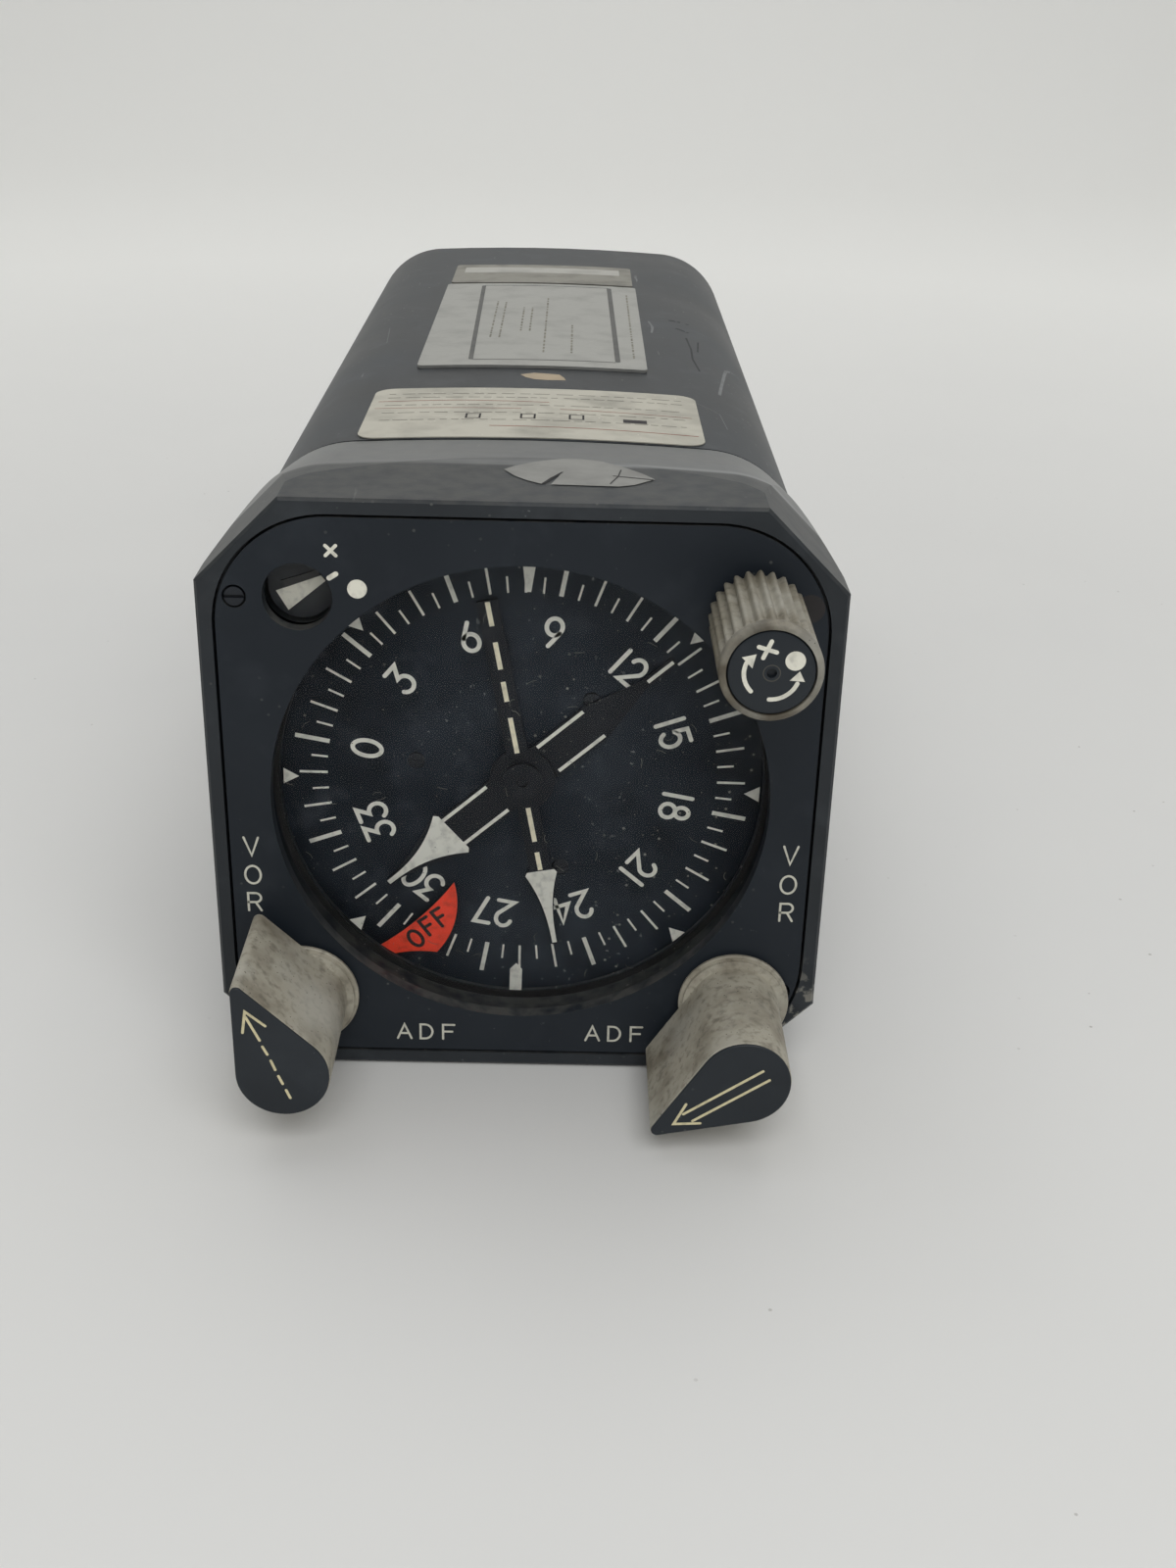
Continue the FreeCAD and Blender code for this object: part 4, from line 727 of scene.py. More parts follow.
# %% Index marks
INDEX_TURN = 1.2
PANE_GAP = 0.035
glass_back = behind_rim("window_glass", 1)
index_marks = []
for angle in (45, 90, 135, 225, 270, 315):
    index_marks += turned([[[(-1.15, 32.4), (0, 30.3), (1.15, 32.4)]]], angle + INDEX_TURN)
index_marks += turned([[[(-0.9, 31.8), (-0.35, 27.7), (0.35, 27.7), (0.9, 31.8)]]], INDEX_TURN)
index_marks += turned([[[(-0.87, 32.7), (-0.87, 29.2), (0, 28.2), (0.87, 29.2),
                         (0.87, 32.7)]]], 180 + INDEX_TURN)
raised("index_print", index_marks, glass_back + PANE_GAP, "case", dial_ink)
print("index marks:", len(index_marks))

# %% [markdown]
# ## The two pointers
# Both pointers are dark bars that almost vanish against the card, and only their painted marks
# are read. The single pointer has a row of dashes and a slim arrowhead, the double pointer two
# thin lines and a broad arrowhead with hollow sides. The hollow side could be an arc, but the
# real one narrows quickly at first and then hardly at all, so a power curve draws it.

# %% Pointer paint
FIRST_TURN = 169.3
SECOND_TURN = 228.5
POINTER_SHEET = 0.25


def arrowhead(base, half_base, tip, half_tip, steps=14):
    """Head with hollow sides and cut corners: it narrows quickly at first, then slowly."""
    side = [(half_base * 0.86, base), (half_base, base + 0.5)]
    for step in range(1, steps + 1):
        part = step / steps
        side.append((half_tip + (half_base - half_tip) * (1 - part) ** 2.5,
                     base + 0.5 + (tip - base - 0.5) * part))
    return [[(-u, v), (u, v), (u2, v2), (-u2, v2)] for (u, v), (u2, v2) in zip(side, side[1:])]


first_dashes = [(-26.1, -22.7), (-20.4, -16.5), (-14.7, -11.8), (-9.4, -4.1), (4.3, 9.6),
                (11.3, 14.1)]
first_marks = [bar(low, high, 0.66) for low, high in first_dashes]
second_marks = [bar(low, high, 0.5, x) for x in (-2.28, 2.28)
                for low, high in ((-12.8, -4.6), (4.6, 12.8))]
second_marks.append(bar(-26.6, -22.2, 0.5))
for name, turn, marks, head, ink in (
    ("pointer_1", FIRST_TURN, first_marks, arrowhead(14.3, 2.25, 26, 0.33), dash_ink),
    ("pointer_2", SECOND_TURN, second_marks, arrowhead(12.7, 3.7, 25, 0.33), dial_ink),
):
    body = "first_pointer" if name == "pointer_1" else "second_pointer"
    front = behind_rim(name, 1) - POINTER_SHEET
    raised(name + "_lines", turned(marks, turn), front, body, ink)
    raised(name + "_head", turned([head], turn), front, body, dial_ink)
print("pointer rears:", [round(behind_rim(n, 1), 2) for n in ("pointer_1", "pointer_2")])

# %% [markdown]
# ## The flag and the face
# A red-orange flag with the word OFF swings over the card when the heading signal fails. The
# small window at the upper left has a cross above it and a dot beside it, which show the way
# the sync knob has to be turned, and the knobs have their legends. Other glyphs could be drawn
# for all this, but the real print comes from the same pen as the numerals, so their shapes are
# used again. The word rides on the flag, the rest on the case.

# %% Print on the flag and the face
flag_word = []
for sign, x, z in (("O", -15.0, -25.1), ("F", -13.25, -23.05), ("F", -11.45, -21.55)):
    flag_word += turned(glyph(sign, 1.75, 2.7, 0.5), -36, x, z)
raised("flag_word", flag_word, behind_rim("off_flag", 0), "flag", black_ink)

plate_front = behind_rim("face_plate", 0)
face_marks = turned(glyph("X", 1.3, 1.3, 0.45), 0, -24.0, 34.7)
face_marks.append(disc(-20.84, 29.73, 1.25))
face_marks.append(stroke([(-24.3, 31.1), (-23.45, 31.65)], 0.66))
legends = []
for x, heights in ((-36.2, (-7.1, -11.4, -15.6)), (36.5, (-6.8, -11.3, -15.6))):
    for sign, z in zip("VOR", heights):
        legends += turned(glyph(sign, 2.1, 2.7, 0.31), 0, x, z)
for x, z in ((-13.05, -36.1), (13.55, -35.9)):
    legends += turned(word("ADF", 2.1, 2.35, 0.31, 3.1), 0, x, z)
raised("face_print", face_marks, plate_front, "case", white_ink)
# Painted shade: a black disc over the flush upper right screw stands for the shade of a deep screw
# hole.
raised("upper_screw_painted_shade", [disc(36.4, 28.4, 1.9)], plate_front, "case",
       black_ink, thickness=0.01)
raised("face_legends", legends, plate_front, "case", legend_ink)
print("face marks:", len(face_marks))

# %% [markdown]
# ## The knob faces
# The drop-shaped knobs choose what each pointer shows. Their black faces carry the arrow of
# their own pointer: dashed for the single one on the left, double for the other on the right.
# The round sync knob shows two bent arrows with a cross and a dot. One arrow could be turned to
# fit both knobs, but the two differ in kind, so each is drawn as it lies, from its knob's own
# axis. The faces lie a hair back, so that their ink stays inside the part.

# %% Arrows on the knobs
INK_ROOM = 0.04  # millimetres from the part's front to the faces of the knobs
LEFT_KNOB = middle_of("left_selector_shaft")
RIGHT_KNOB = middle_of("right_selector_shaft")
SYNC_KNOB = middle_of("sync_shaft")
dashed_arrow = [
    [(-4.76, 6.52), (-4.3, 9.7), (-1.81, 7.6)],
    [(-4.23, 8.86), (-2.64, 5.4)],
    [(-2.33, 4.44), (-1.76, 3.27)],
    [(-1.36, 2.31), (-0.86, 0.92)],
    [(-0.49, -0.05), (0.0, -1.24)],
    [(0.4, -2.22), (0.89, -3.42)],
]
double_arrow = [
    [(-7.46, -3.28), (-8.96, -6.44), (-5.47, -6.25)],
    [(-7.75, -4.85), (2.28, 2.11)],
    [(-6.5, -5.9), (3.2, 0.74)],
]
for side, arrow, axis in (("left", dashed_arrow, LEFT_KNOB), ("right", double_arrow, RIGHT_KNOB)):
    marks = turned([stroke(points, 0.36) for points in arrow], 0, *axis)
    raised(side + "_knob_arrow", marks, behind_rim(side + "_selector_face", 0) + INK_ROOM,
           side + "_selector", yellow_ink)

sync_marks = [stroke(points, 0.52) for points in (
    [(-1.71, 3.23), (0.39, 2.6)],
    [(-0.27, 3.94), (-1.13, 1.88)],
    arc(0, 0, 3.27, 3.27, 225, 158, 10),
    arc(0, 0, 3.3, 3.3, 268, 338, 10),
)]
sync_marks += [
    [[(-1.93, 2.32), (-3.61, 1.9), (-2.32, 0.56)]],
    [[(3.26, 0.31), (2.13, -0.87), (3.93, -0.98)]],
    disc(2.66, 1.59, 1.2),
]
raised("sync_knob_marks", turned(sync_marks, 0, *SYNC_KNOB), behind_rim("sync_knob_face", 0),
       "sync", white_ink)
print("knob axes:", [tuple(round(v, 2) for v in k) for k in (LEFT_KNOB, RIGHT_KNOB, SYNC_KNOB)])

# %% [markdown]
# ## The heading annunciator
# Behind its own small window a white wedge is painted on a light leaf that the meter movement
# swings, over a dark grey ground that is a little lighter than the face. The whole leaf could
# be painted white, but it is broader than the wedge that one sees. So the leaf is black, and a
# thin white wedge lies on it and swings with it.

# %% Annunciator leaf
SIGNAL = middle_of("annunciator_window")
signal_y = behind_rim("annunciator_pointer", 0)
GROUND_DEPTH = 0.35
GROUND_RADIUS = 4.3
wedge = [(-31.7, 27.95), (-30.2, 25.35), (-25.3, 29.4), (-25.85, 30.1)]
raised("annunciator_wedge", [[wedge]], signal_y, "signal", white_ink,
       thickness=0.1)
ground = plain_solid("ground_grey", (44, 48, 52), 0.6, 0.004)
raised("annunciator_ground", [disc(*SIGNAL, GROUND_RADIUS)], signal_y + GROUND_DEPTH, "case",
       ground)
print("annunciator leaf at", round(signal_y, 2), "mm behind the rim")

# %% [markdown]
# ## A lathe, and the window's blackened edge
# Knobs, their feet and the edge of the window are turned pieces. Blender's screw modifier could
# spin a profile, but it can't cut grip grooves. So a small lathe is written out: it walks along
# a profile of radius, place and groove depth from the shaft outwards, sets a ring of points at
# each step, and bridges each ring to the next. Its first use is a thin dark ring at the round
# edge of the thick pane. Through the front of the glass this ring is the dark wall around the
# lower half of the dial. The mesh of the glass isn't touched, so the ring lies just inside it.

# %% A lathe and the window edge


def add_turned(build, profile, axis, steps, grooves=0):
    """Add a lathe piece about an axis along Y, given by x and z, to a bmesh."""
    rings = []
    for radius, y, groove in profile:
        ring = []
        for step in range(steps if radius else 1):
            angle = 2 * math.pi * step / steps
            valley = (0.5 - 0.5 * math.cos(grooves * angle)) ** 1.3
            reach = radius - groove * valley
            ring.append(build.verts.new(at(axis[0] + reach * math.cos(angle), y,
                                           axis[1] + reach * math.sin(angle))))
        rings.append(ring)
    for near, far in zip(rings, rings[1:]):
        for step in range(steps):
            after = (step + 1) % steps
            corners = [near[step % len(near)], near[after % len(near)],
                       far[after % len(far)], far[step % len(far)]]
            build.faces.new(list(dict.fromkeys(corners)))


pane_front = behind_rim("window_glass", 0)
pane_rear = behind_rim("window_glass", 1)
EDGE_INSET = 0.08
EDGE_GAP = 0.05
edge = (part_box("window_glass")[1].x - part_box("window_glass")[0].x) / 2 / MM - EDGE_INSET
build = bmesh.new()
add_turned(build, [(edge, pane_front + EDGE_GAP, 0), (edge, pane_rear - EDGE_GAP, 0)], (0, 0), 144)
# A thin dark ring just inside the pane's edge makes the dark wall around the lower half of the dial.
edge_paint = dust_on_top(dark_coat("edge_paint", (30, 34, 38), 0.7, 0.4, 0.6, 0.1, 0.1), 0.25).done()
new_piece("window_edge", finished("window_edge", build, 40), "case", edge_paint)
print("window edge radius", round(edge, 2))

# %% [markdown]
# ## The fluted sync knob
# The grip grooves of the real knob are cut by a small ball cutter that lifts out before the
# front, so each groove ends in a scoop. They could be cut with boolean solids, but those leave
# ragged faces at the scoops. Here the groove depth in the profile fades along the cutter's
# quarter circle, and the scoops come by themselves. The black disc in the front is turned too,
# and a thin ring of dirt lies around the small hole in its middle.

# %% Sync knob
SYNC_RADIUS = 6.2
STEM_RADIUS = 1.6
STEM_REAR = -13.5
GROOVE_DEPTH = 0.74
SCOOP_LENGTH = 1.6
FACE_RECESS = 0.8
sync_rear = behind_rim("sync_knob", 1)
sync_front = behind_rim("sync_knob", 0)
scoop_start = sync_front + 3.1
profile = [(0, STEM_REAR, 0), (STEM_RADIUS, STEM_REAR, 0), (STEM_RADIUS, sync_rear, 0),
           (SYNC_RADIUS - 0.3, sync_rear, GROOVE_DEPTH),
           (SYNC_RADIUS, sync_rear - 0.3, GROOVE_DEPTH)]
profile += [(SYNC_RADIUS, sync_rear - 0.3 - step, GROOVE_DEPTH) for step in range(2, 15, 3)]
for step in range(9):
    part = step / 8
    profile.append((SYNC_RADIUS, scoop_start - SCOOP_LENGTH * part,
                    GROOVE_DEPTH * math.sqrt(1 - part * part)))
profile += [(SYNC_RADIUS, sync_front + 0.5, 0), (SYNC_RADIUS - 0.12, sync_front + 0.2, 0),
            (SYNC_RADIUS - 0.45, sync_front, 0), (5.36, sync_front, 0),
            (5.34, sync_front + FACE_RECESS, 0), (0, sync_front + FACE_RECESS, 0)]
build = bmesh.new()
add_turned(build, profile, SYNC_KNOB, 288, 24)
sync_body = new_piece("sync_knob_body", finished("sync_knob_body", build, 40), "sync",
                      sync_paint)
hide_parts("sync_knob")

disc_front = behind_rim("sync_knob_face", 0)
build = bmesh.new()
add_turned(build, [(0, disc_front + 0.6, 0), (0.6, disc_front + 0.6, 0), (0.6, disc_front, 0),
                   (4.75, disc_front, 0), (5.1, disc_front + 0.1, 0), (5.28, disc_front + 0.4, 0),
                   (5.28, disc_front + 0.75, 0), (0, disc_front + 0.75, 0)], SYNC_KNOB, 96)
sync_disc = new_piece("sync_knob_disc", finished("sync_knob_disc", build, 35), "sync",
                      knob_black)
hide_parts("sync_knob_face")
ring_line = stroke(arc(*SYNC_KNOB, 1.0, 1.0, 0, 360, 24), 0.12)
dirt = plain_solid("dirt_grey", (78, 76, 70), 0.7, 0.004)
raised("sync_knob_ring", [ring_line], disc_front, "sync", dirt, thickness=0.01)
print("sync knob from", round(sync_rear, 2), "to", round(sync_front, 2))

# %% [markdown]
# ## The outline of a drop
# Seen from the front each selector knob is a drop: a big circle about the shaft, a small one at
# the tip, and two straight flanks. It could be drawn by hand as a curve, but the flanks have to
# run into the circles without a corner. The angle where they touch follows from the two radii
# and their distance, so it is worked out. An inset draws both circles in and gives the rounded
# edge.

# %% Outline of a drop
DROP_RADIUS = 6.17
DROP_TIP = 0.9
DROP_LENGTH = 13.41
FLANK = math.degrees(math.asin((DROP_RADIUS - DROP_TIP) / DROP_LENGTH))


def drop_outline(inset):
    """Drop about the shaft with its tip up: an inset draws both of its circles in."""
    big = DROP_RADIUS - inset
    small = DROP_TIP - inset
    return (arc(0, 0, big, big, 180 - FLANK, 360 + FLANK, 40)
            + arc(0, DROP_LENGTH, small, small, FLANK, 180 - FLANK, 12))


def add_drop(build, levels, axis, angle):
    """Add a drop-shaped slab to a bmesh; levels hold its place and its inset."""
    rings = []
    for y, inset in levels:
        outline = turned([[drop_outline(inset)]], angle, *axis)[0][0]
        rings.append([build.verts.new(at(x, y, z)) for x, z in outline])
    for near, far in zip(rings, rings[1:]):
        for here in range(len(near)):
            after = (here + 1) % len(near)
            build.faces.new((near[here], near[after], far[after], far[here]))
    build.faces.new(rings[0])
    build.faces.new(rings[-1])


print("flanks lean by", round(FLANK, 1), "degrees")

# %% [markdown]
# ## The selector knobs
# The real knob is moulded in one with a stepped round foot. Hands have worn the paint off the
# front edge, so the black plate sits inside a thin light line. The CAD solids have these forms
# with sharp edges, and a bevel modifier could soften them, but it would round every edge alike.
# So foot and drop are built from levels, each with its own inset, and replace the solids.

# %% Selector knobs
FOOT_RADIUS = 7.7
LEFT_TURN = -23.3
RIGHT_TURN = -124.2
for side, axis, angle in (("left", LEFT_KNOB, LEFT_TURN), ("right", RIGHT_KNOB, RIGHT_TURN)):
    foot = behind_rim(side + "_selector_knob", 1)
    grip_front = behind_rim(side + "_selector_knob", 0)
    plate_face = behind_rim(side + "_selector_face", 0) + INK_ROOM
    build = bmesh.new()
    add_turned(build, [(0, foot, 0), (FOOT_RADIUS - 0.1, foot, 0), (FOOT_RADIUS, foot - 0.12, 0),
                       (FOOT_RADIUS, foot - 0.55, 0), (FOOT_RADIUS - 0.12, foot - 0.68, 0),
                       (FOOT_RADIUS - 0.5, foot - 0.72, 0), (FOOT_RADIUS - 0.52, foot - 1.3, 0),
                       (FOOT_RADIUS - 0.66, foot - 1.4, 0), (0, foot - 1.4, 0)], axis, 96)
    add_drop(build, [(foot - 1.3, 0), (grip_front + 0.22, 0), (grip_front + 0.07, 0.05),
                     (grip_front, 0.16)], axis, angle)
    body = new_piece(side + "_knob_body", finished(side + "_knob_body", build, 40),
                     side + "_selector", knob_paint)
    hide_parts(side + "_selector_knob")
    build = bmesh.new()
    add_drop(build, [(grip_front, 0.1), (plate_face + 0.08, 0.1), (plate_face, 0.2)], axis, angle)
    plate = new_piece(side + "_knob_plate", finished(side + "_knob_plate", build, 30),
                      side + "_selector", knob_black)
    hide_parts(side + "_selector_face")
    print(side, "knob from", round(foot, 2), "to", round(plate_face, 2))


# %% [markdown]
# ## Dropping marks on the top
# The sheet metal top of the case bulges slightly, and the labels follow it. A shrinkwrap
# modifier could press the marks down, but it moves points sideways where the top curves. So the
# marks are drawn flat in plan, cut into small triangles, and each corner is dropped straight
# down by a ray onto the CAD node below it.

# %% Dropping marks on the top
ABOVE_ALL = 60  # millimetres over the dial middle, clear of every piece


def top_height(node, x, y):
    """Height of a CAD node's top at a place given by x and the distance behind the rim."""
    start = at(x, y, ABOVE_ALL)
    struck, place, _, _ = nodes[node].ray_cast(start, Vector((0, 0, -1)))
    return place.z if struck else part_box(node)[1].z


def draped(name, marks, under, finish, lift=0.015, finest=2.5):
    """Drop flat marks, drawn as x and distance behind the rim, onto the CAD node under them."""
    build = bmesh.new()
    for number, mark in enumerate(marks):
        rise = lift + STEP_UP * (number % 3)
        for shape in mark:
            verts = [build.verts.new((x, y, rise)) for x, y in shape]
            build.faces.new(verts)
    bmesh.ops.triangulate(build, faces=build.faces[:])
    for _ in range(4):
        long_edges = [edge for edge in build.edges if edge.calc_length() > finest]
        if long_edges:
            bmesh.ops.subdivide_edges(build, edges=long_edges, cuts=1)
            bmesh.ops.triangulate(build, faces=build.faces[:])
    for vert in build.verts:
        x, y, rise = vert.co
        vert.co = (x * MM, RIM_Y + y * MM, top_height(under, x, y) + rise * MM)
    return new_piece(name, finished(name, build), "case", finish)


print("case top above the dial middle:", round(top_height("case_sleeve", 0, 100) - DIAL_Z, 4))

# %% [markdown]
# ## The data plate and the strip
# The real data plate has a ruled frame, and the narrow plate behind it a pale field. The
# maker's print is left off, so only the rules and the field are drawn. A bump in the metal
# could stand for the rules, but they are printed, so they are ink on the plate.

# %% Data plate and strip
rule_grey = plain_solid("rule_grey", (92, 92, 90), 0.6, 0.004)
frame_lines = [
    stroke([(-11.4, 86.2), (-12.6, 155.0)], 0.8),
    stroke([(13.2, 86.6), (12.6, 155.0)], 0.9),
    stroke([(-11.0, 85.6), (0, 85.9), (12.7, 86.0)], 0.35),
    stroke([(-12.2, 155.6), (0, 155.7), (12.2, 155.6)], 0.5),
]
draped("data_plate_rules", frame_lines, "data_plate", rule_grey)
pale = plain_solid("plate_pale", (176, 175, 168), 0.5, 0.004)
draped("modification_plate_field", [[[(-17.5, 171), (15, 171), (15, 177.5), (-17.5, 177.5)]]],
       "modification_plate", pale)
print("rules on the data plate:", len(frame_lines))

# %% [markdown]
# ## The paper sticker
# The sticker has thin red rules that aren't quite straight and a row of small boxes, one of
# them filled. A loop could rule it evenly, but then it would look new: a stamp never prints
# straight, so each rule is given with its own slant and width.

# %% Paper sticker
rule_red = plain_solid("rule_red", (150, 92, 78), 0.7, 0.004)
print_black = plain_solid("print_black", (44, 42, 44), 0.7, 0.004)
sticker_lines = [
    stroke([(-6.1, 42.6), (8.1, 42.2), (24.0, 41.4)], 0.3),
    stroke([(-23.8, 57.9), (-11.3, 58.2), (2.1, 57.4)], 0.25),
    stroke([(4.0, 53.2), (23.6, 52.0)], 0.22),
    stroke([(-23.9, 53.6), (-2.0, 53.2)], 0.22),
]
draped("sticker_rules", sticker_lines, "inspection_sticker", rule_red)
boxes = [stroke([(x - 1, y - 1.3), (x + 1, y - 1.3), (x + 1, y + 1.3), (x - 1, y + 1.3),
                 (x - 1, y - 1.3)], 0.3) for x, y in ((6.4, 48.6), (-0.8, 48.5), (-8.9, 48.4))]
boxes.append([[(13.3, 46.6), (16.8, 46.6), (16.8, 48.6), (13.3, 48.6)]])
draped("sticker_boxes", boxes, "inspection_sticker", print_black)
print("marks on the sticker:", len(sticker_lines) + len(boxes))

# %% [markdown]
# ## Print that has worn away
# Between the rules the real labels carry small print that is left out here. Without anything in
# its place the labels would look new. Rows of short dashes of chance length give the same grey
# texture and spell nothing. They could be typed one by one, but chance looks more worn, and a
# fixed seed draws the same rows each time.

# %% Print that has worn away
chance = random.Random(7)


def faded_row(start, end, y, along=False):
    """A row of short dashes where print has worn away; along puts it lengthwise."""
    dashes = []
    place = start
    while place < end:
        stop = min(end, place + chance.uniform(0.7, 2.6))
        line = [(y, place), (y, stop)] if along else [(place, y), (stop, y)]
        dashes.append(stroke(line, 0.34))
        place = stop + chance.uniform(0.6, 1.3)
    return dashes


faded_print = []
for y in (46.2, 50.6, 55.4, 60.2, 62.6):
    faded_print += faded_row(-22.5, 22.5, y)
faded = plain_solid("faded_print", (140, 137, 126), 0.7, 0.004)
draped("sticker_faded_print", faded_print, "inspection_sticker", faded)
faded_print = []
for x, low, high in ((-9.0, 104, 138), (-7.4, 104, 138), (-3.8, 110, 132), (-2.2, 110, 132),
                     (0.6, 92, 142), (5.4, 92, 116), (16.0, 90, 150)):
    faded_print += faded_row(low, high, x, along=True)
draped("data_plate_faded_print", faded_print, "data_plate", faded)
print("faded dashes on the data plate:", len(faded_print))

# %% [markdown]
# ## Wear on the case
# A chip of bare primer shows between the labels, long scratches run down the right side, and
# darker streaks lie beside the data plate. Noise could scatter such marks, but these few are
# what one would know this very case by, so each is drawn one by one as a thin ribbon and dropped
# on the metal.

# %% Wear on the case
primer = plain_solid("primer_tan", (176, 160, 136), 0.7, 0.01)
chip = [(-2.8, 77.1), (-1.9, 75.2), (-0.5, 73.9), (1.6, 73.4), (4.6, 73.6), (4.3, 75.4),
        (3.5, 77.6), (1.2, 78.1), (-0.6, 78.5)]
draped("primer_chip", [[chip]], "case_sleeve", primer)
scratch_grey = plain_solid("scratch_grey", (112, 115, 116), 0.5, 0.004)
stain_grey = plain_solid("stain_grey", (30, 33, 37), 0.6, 0.004)
scratches = [
    stroke([(33.4, 99.5), (32.2, 96.5), (31.6, 92), (30.9, 86), (30.2, 80), (29.4, 73)], 0.5),
    stroke([(34.8, 101.0), (33.6, 99.8), (32.6, 98.6)], 0.22),
    stroke([(19.7, 126.5), (20.3, 121), (19.9, 116)], 0.4),
    stroke([(-28.0, 118.0), (-27.2, 104.0)], 0.12),
    stroke([(25.0, 63.0), (28.4, 58.5), (29.0, 50.0)], 0.14),
]
draped("case_scratches", scratches, "case_sleeve", scratch_grey)
streaks = [
    stroke([(23.9, 129.0), (26.9, 127.2)], 0.9),
    stroke([(24.8, 121.5), (26.6, 119.0)], 0.7),
    stroke([(26.1, 113.6), (26.5, 104.0), (26.3, 96.0), (27.0, 87.0)], 0.35),
    stroke([(28.2, 112.0), (27.6, 103.0)], 0.3),
]
draped("case_stains", streaks, "case_sleeve", stain_grey, lift=0.008)
print("scratches:", len(scratches), "streaks:", len(streaks))

# %% [markdown]
# ## The tamper seal
# A thin foil was pasted over the crest of the casting and torn when someone lifted it. Its left
# part has come apart along a jagged crack, and a fine slit opens at its right end. The tear
# could be painted on the whole oval of the CAD, but its outline shows against the dark paint.
# So both parts are drawn with their torn outline, dropped on the casting, and take the oval's
# place.

# %% Tamper seal
seal_left = [(-3.0, 14.8), (-1.6, 12.0), (0.1, 9.9), (2.0, 8.4), (3.1, 11.3), (4.5, 13.9),
             (4.6, 16.8), (2.0, 19.5), (0.4, 18.4), (-1.7, 16.6)]
seal_right = [(3.2, 8.2), (11.9, 7.9), (13.9, 8.8), (16.6, 11.6), (15.1, 14.2), (12.6, 17.2),
              (10.0, 19.6), (7.4, 20.6), (4.6, 20.6), (2.0, 19.5), (4.6, 16.8), (4.5, 13.9),
              (4.1, 11.6)]
foil = plain_solid("seal_foil", (138, 138, 134), 0.5, 0.008)
seal = draped("seal_foil", [[seal_left], [seal_right]], "front_casting", foil,
              lift=0.1, finest=1.2)
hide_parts("tamper_seal")
slit = [stroke([(11.3, 12.7), (13.5, 12.1), (16.3, 11.3)], 0.28),
        stroke([(2.3, 8.7), (3.4, 11.3), (4.6, 13.9)], 0.3),
        stroke([(10.8, 9.0), (11.9, 12.6), (12.3, 15.6)], 0.18)]
draped("seal_slits", slit, "front_casting", print_black, lift=0.14,
       finest=1.2)
print("seal faces:", len(seal.data.polygons))

# %% [markdown]
# ## Lint on the window
# Years on a shelf leave short fibres and grains of dust on the glass. A noise mask could whiten
# the pane, but it would also grey the dial seen through it. So the fibres are tiny bent strokes
# and the grains tiny discs on the front of the pane, drawn by chance from the same fixed seed.

# %% Lint
FIBRES = 34
FIBRE_STEP = 0.34
GRAINS = 260
lint = []
for _ in range(FIBRES):
    radius = 31 * math.sqrt(chance.random())
    way = chance.uniform(0, 2 * math.pi)
    x, z = radius * math.cos(way), radius * math.sin(way)
    curve = chance.uniform(-0.5, 0.5)
    turn = chance.uniform(0, 2 * math.pi)
    points = [(x, z)]
    for _ in range(4):
        turn += curve
        x, z = x + FIBRE_STEP * math.cos(turn), z + FIBRE_STEP * math.sin(turn)
        points.append((x, z))
    lint.append(stroke(points, chance.choice((0.04, 0.05, 0.07))))
for _ in range(GRAINS):
    radius = 32 * chance.random() ** 0.4
    way = chance.uniform(0, 2 * math.pi)
    lint.append(disc(radius * math.cos(way), radius * math.sin(way),
                     chance.uniform(0.03, 0.09), 6))
dust_grey = plain_solid("lint_grey", (112, 112, 106), 0.8, 0.002)
raised("window_lint", lint, behind_rim("window_glass", 0), "case", dust_grey,
       thickness=0.01)
print("lint pieces:", len(lint))

# %% [markdown]
# ## The table and its backdrop
# The photograph shows a white table that runs into a white wall without an edge. A flat plane
# could be the table, but it would end in a hard horizon. One sheet that bends up behind the
# object has none. Its colour carries painted light and shade: well below pure white near the
# object, as a broad painted shadow, and lighter further away as painted light.

# %% Floor and backdrop
FLOOR_TONE = (226, 226, 224)
BELOW_THE_CASE = 0.0002


def bent_sheet(name, half_width, front, rear, height, bend, steps=24):
    """A sheet that lies from front to rear and then bends up to height, in metres."""
    profile = [(front, 0.0)]
    for step in range(steps + 1):
        angle = math.pi / 2 * step / steps
        profile.append((rear - bend + bend * math.sin(angle), bend - bend * math.cos(angle)))
    profile.append((rear, height))
    mesh = bpy.data.meshes.new(name)
    build = bmesh.new()
    rows = [[build.verts.new((x, y, z - BELOW_THE_CASE)) for x in (-half_width, half_width)]
            for y, z in profile]
    for (left, right), (next_left, next_right) in zip(rows, rows[1:]):
        build.faces.new((left, right, next_right, next_left))
    build.to_mesh(mesh)
    build.free()
    for polygon in mesh.polygons:
        polygon.use_smooth = True
    sheet = bpy.data.objects.new(name, mesh)
    bpy.context.scene.collection.objects.link(sheet)
    return sheet


table_finish = Finish("table_white", FLOOR_TONE, 0.62)
table_finish.over(table_finish.mask(table_finish.noise(9, 4), 0.5, 0.8, 0.25), (214, 215, 215))
table_finish.over(table_finish.both(table_finish.grains(160, 0.05),
                                    table_finish.mask(table_finish.noise(14, 2), 0.52, 0.6, 0.6)),
                  (150, 146, 140))
# Painted light and shade: the sheet grows lighter with distance from the object, so near it the base
# tone reads as a broad painted shadow.
painted_light_away = table_finish.mask(table_finish.distance_to((0, 0, 0)), 0.19, 0.6, 0.95)
table_finish.over(painted_light_away, (253, 253, 250))
table_finish.bump(table_finish.noise(700, 3), 0.01)
table = bent_sheet("table_and_wall", half_width=5.0, front=-5.0, rear=1.5, height=2.4, bend=0.6)
table.data.materials.append(table_finish.done())
print("corners of the sheet:", len(table.data.vertices))

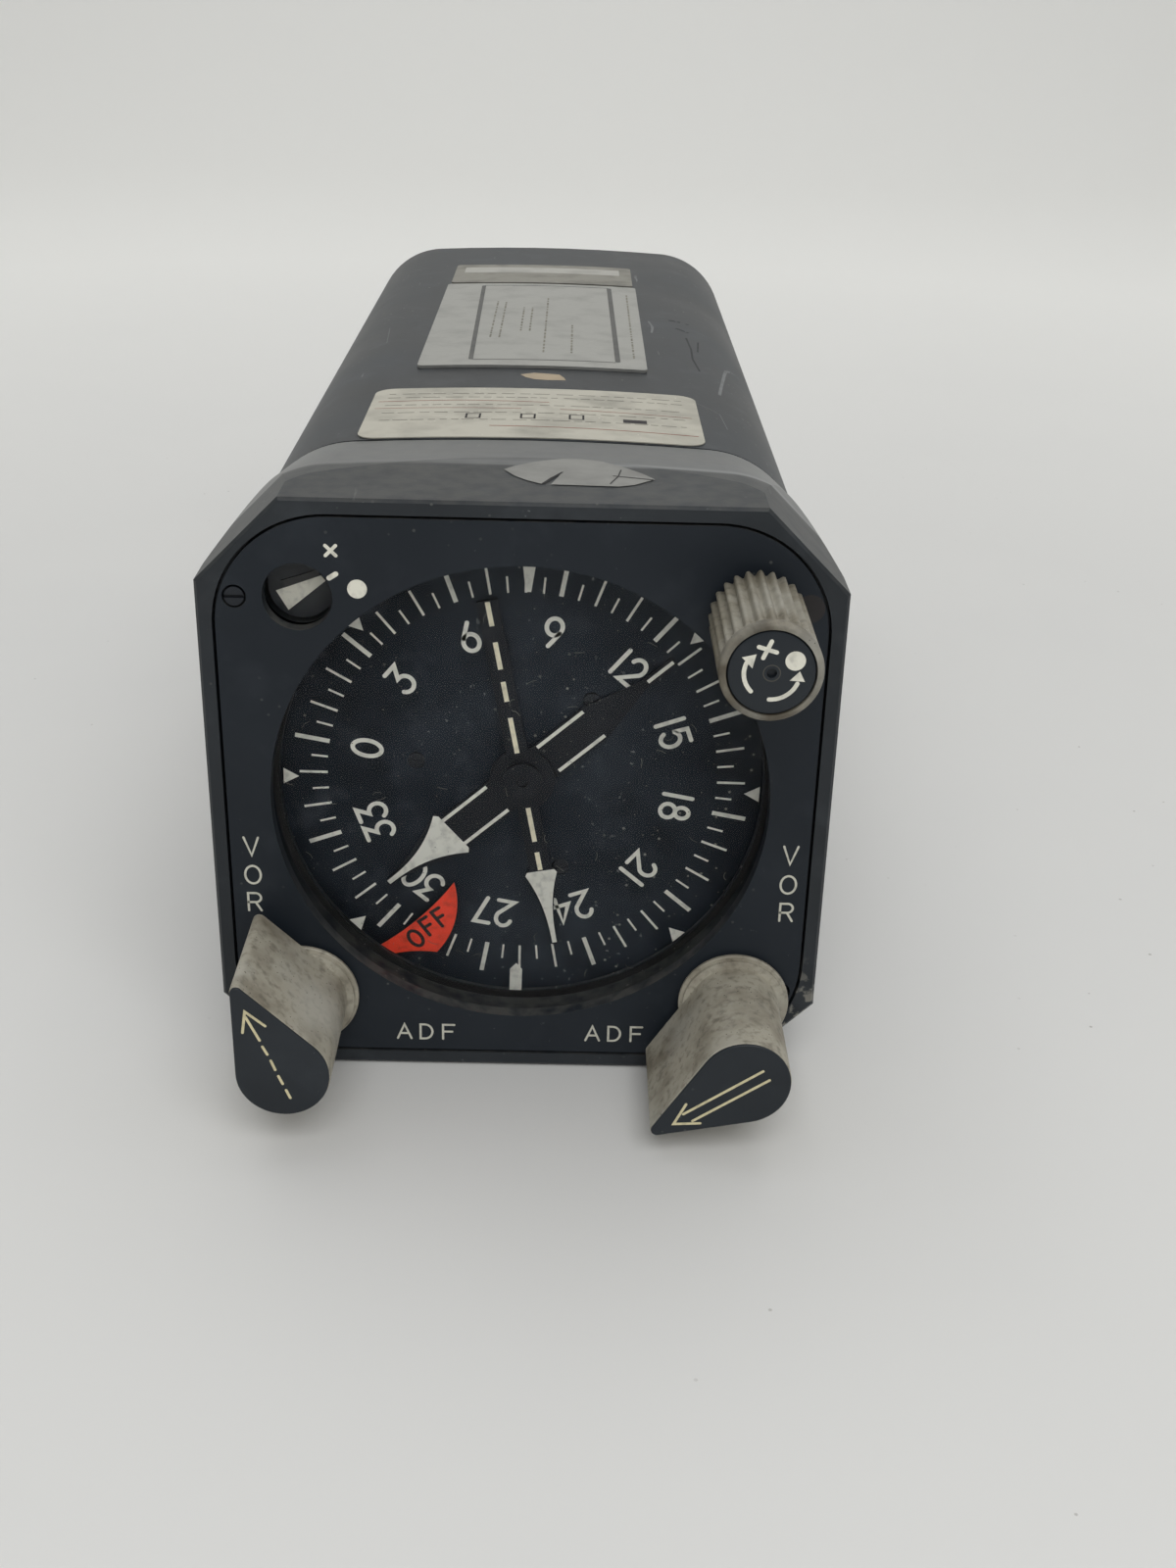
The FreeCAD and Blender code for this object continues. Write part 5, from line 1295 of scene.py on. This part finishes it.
# %% [markdown]
# ## Soft light
# The picture was taken in a bright room with a broad light overhead, a little behind the
# object: the top of the case shines softly, and the shadow under the front is wide and pale.
# Small lamps could be aimed at the same spots, but they draw hard shadows. So there are two
# large area lights, one overhead and one high in front, and a room that is brighter towards the
# back.

# %% Lights
ROOM_FRONT = 0.15
ROOM_BACK = 0.68


def soft_light(name, place, target, width, power):
    """A broad area light at a place, turned to a target; power is in watts."""
    data = bpy.data.lights.new(name, "AREA")
    data.shape = "RECTANGLE"
    data.size = width
    data.size_y = width * 0.7
    data.energy = power
    lamp = bpy.data.objects.new(name, data)
    bpy.context.scene.collection.objects.link(lamp)
    lamp.location = place
    lamp.rotation_euler = (Vector(target) - Vector(place)).to_track_quat("-Z", "Y").to_euler()


soft_light("overhead", (-0.1, 0.55, 1.5), (0, 0.05, 0), 1.6, 6.6)
soft_light("front_fill", (0.22, -1.05, 1.15), (0, -0.05, 0.0), 1.3, 10.8)
world = bpy.data.worlds.new("room")
bpy.context.scene.world = world
world.use_nodes = True
room = world.node_tree
direction = room.nodes.new("ShaderNodeSeparateXYZ")
room.links.new(room.nodes.new("ShaderNodeTexCoord").outputs["Generated"], direction.inputs[0])
brightness = room.nodes.new("ShaderNodeMapRange")
brightness.inputs["From Min"].default_value = -1.0
brightness.inputs["From Max"].default_value = 1.0
brightness.inputs["To Min"].default_value = ROOM_FRONT
brightness.inputs["To Max"].default_value = ROOM_BACK
room.links.new(direction.outputs["Y"], brightness.inputs["Value"])
room.links.new(brightness.outputs[0], room.nodes["Background"].inputs["Strength"])
room.nodes["Background"].inputs["Color"].default_value = (1.0, 1.0, 0.985, 1.0)
bpy.context.scene.view_settings.view_transform = "Standard"
print("lamps:", ", ".join(lamp.name for lamp in bpy.data.lights))

# %% [markdown]
# ## The camera
# The camera stands close in front of the face and looks down on it by about 25 degrees, so the
# front is large and the long case shrinks away behind it. It could be aimed by hand until it
# looks right, but its place, its directions and its lens were worked out from the known size of
# the front instead.

# %% Camera
CAMERA_PLACE = Vector((0.005785, -0.313810, 0.145643))
LOOK = Vector((0.013139, 0.902902, -0.429646))
RIGHT = Vector((0.999690, -0.002775, 0.024738))
UP = Vector((-0.021144, 0.429838, 0.902659))
camera_data = bpy.data.cameras.new("camera")
camera_data.lens = 40.76
camera_data.sensor_width = 36.0
camera_data.clip_start = 0.01
camera = bpy.data.objects.new("camera", camera_data)
bpy.context.scene.collection.objects.link(camera)
turn = Matrix((RIGHT, UP, -LOOK)).transposed()
camera.matrix_world = Matrix.Translation(CAMERA_PLACE) @ turn.to_4x4()
bpy.context.scene.camera = camera
print("camera at", tuple(round(value, 3) for value in CAMERA_PLACE))

# %% [markdown]
# ## The size of the part
# The dressed object should keep the size of the CAD part, or it would no longer fit its panel.
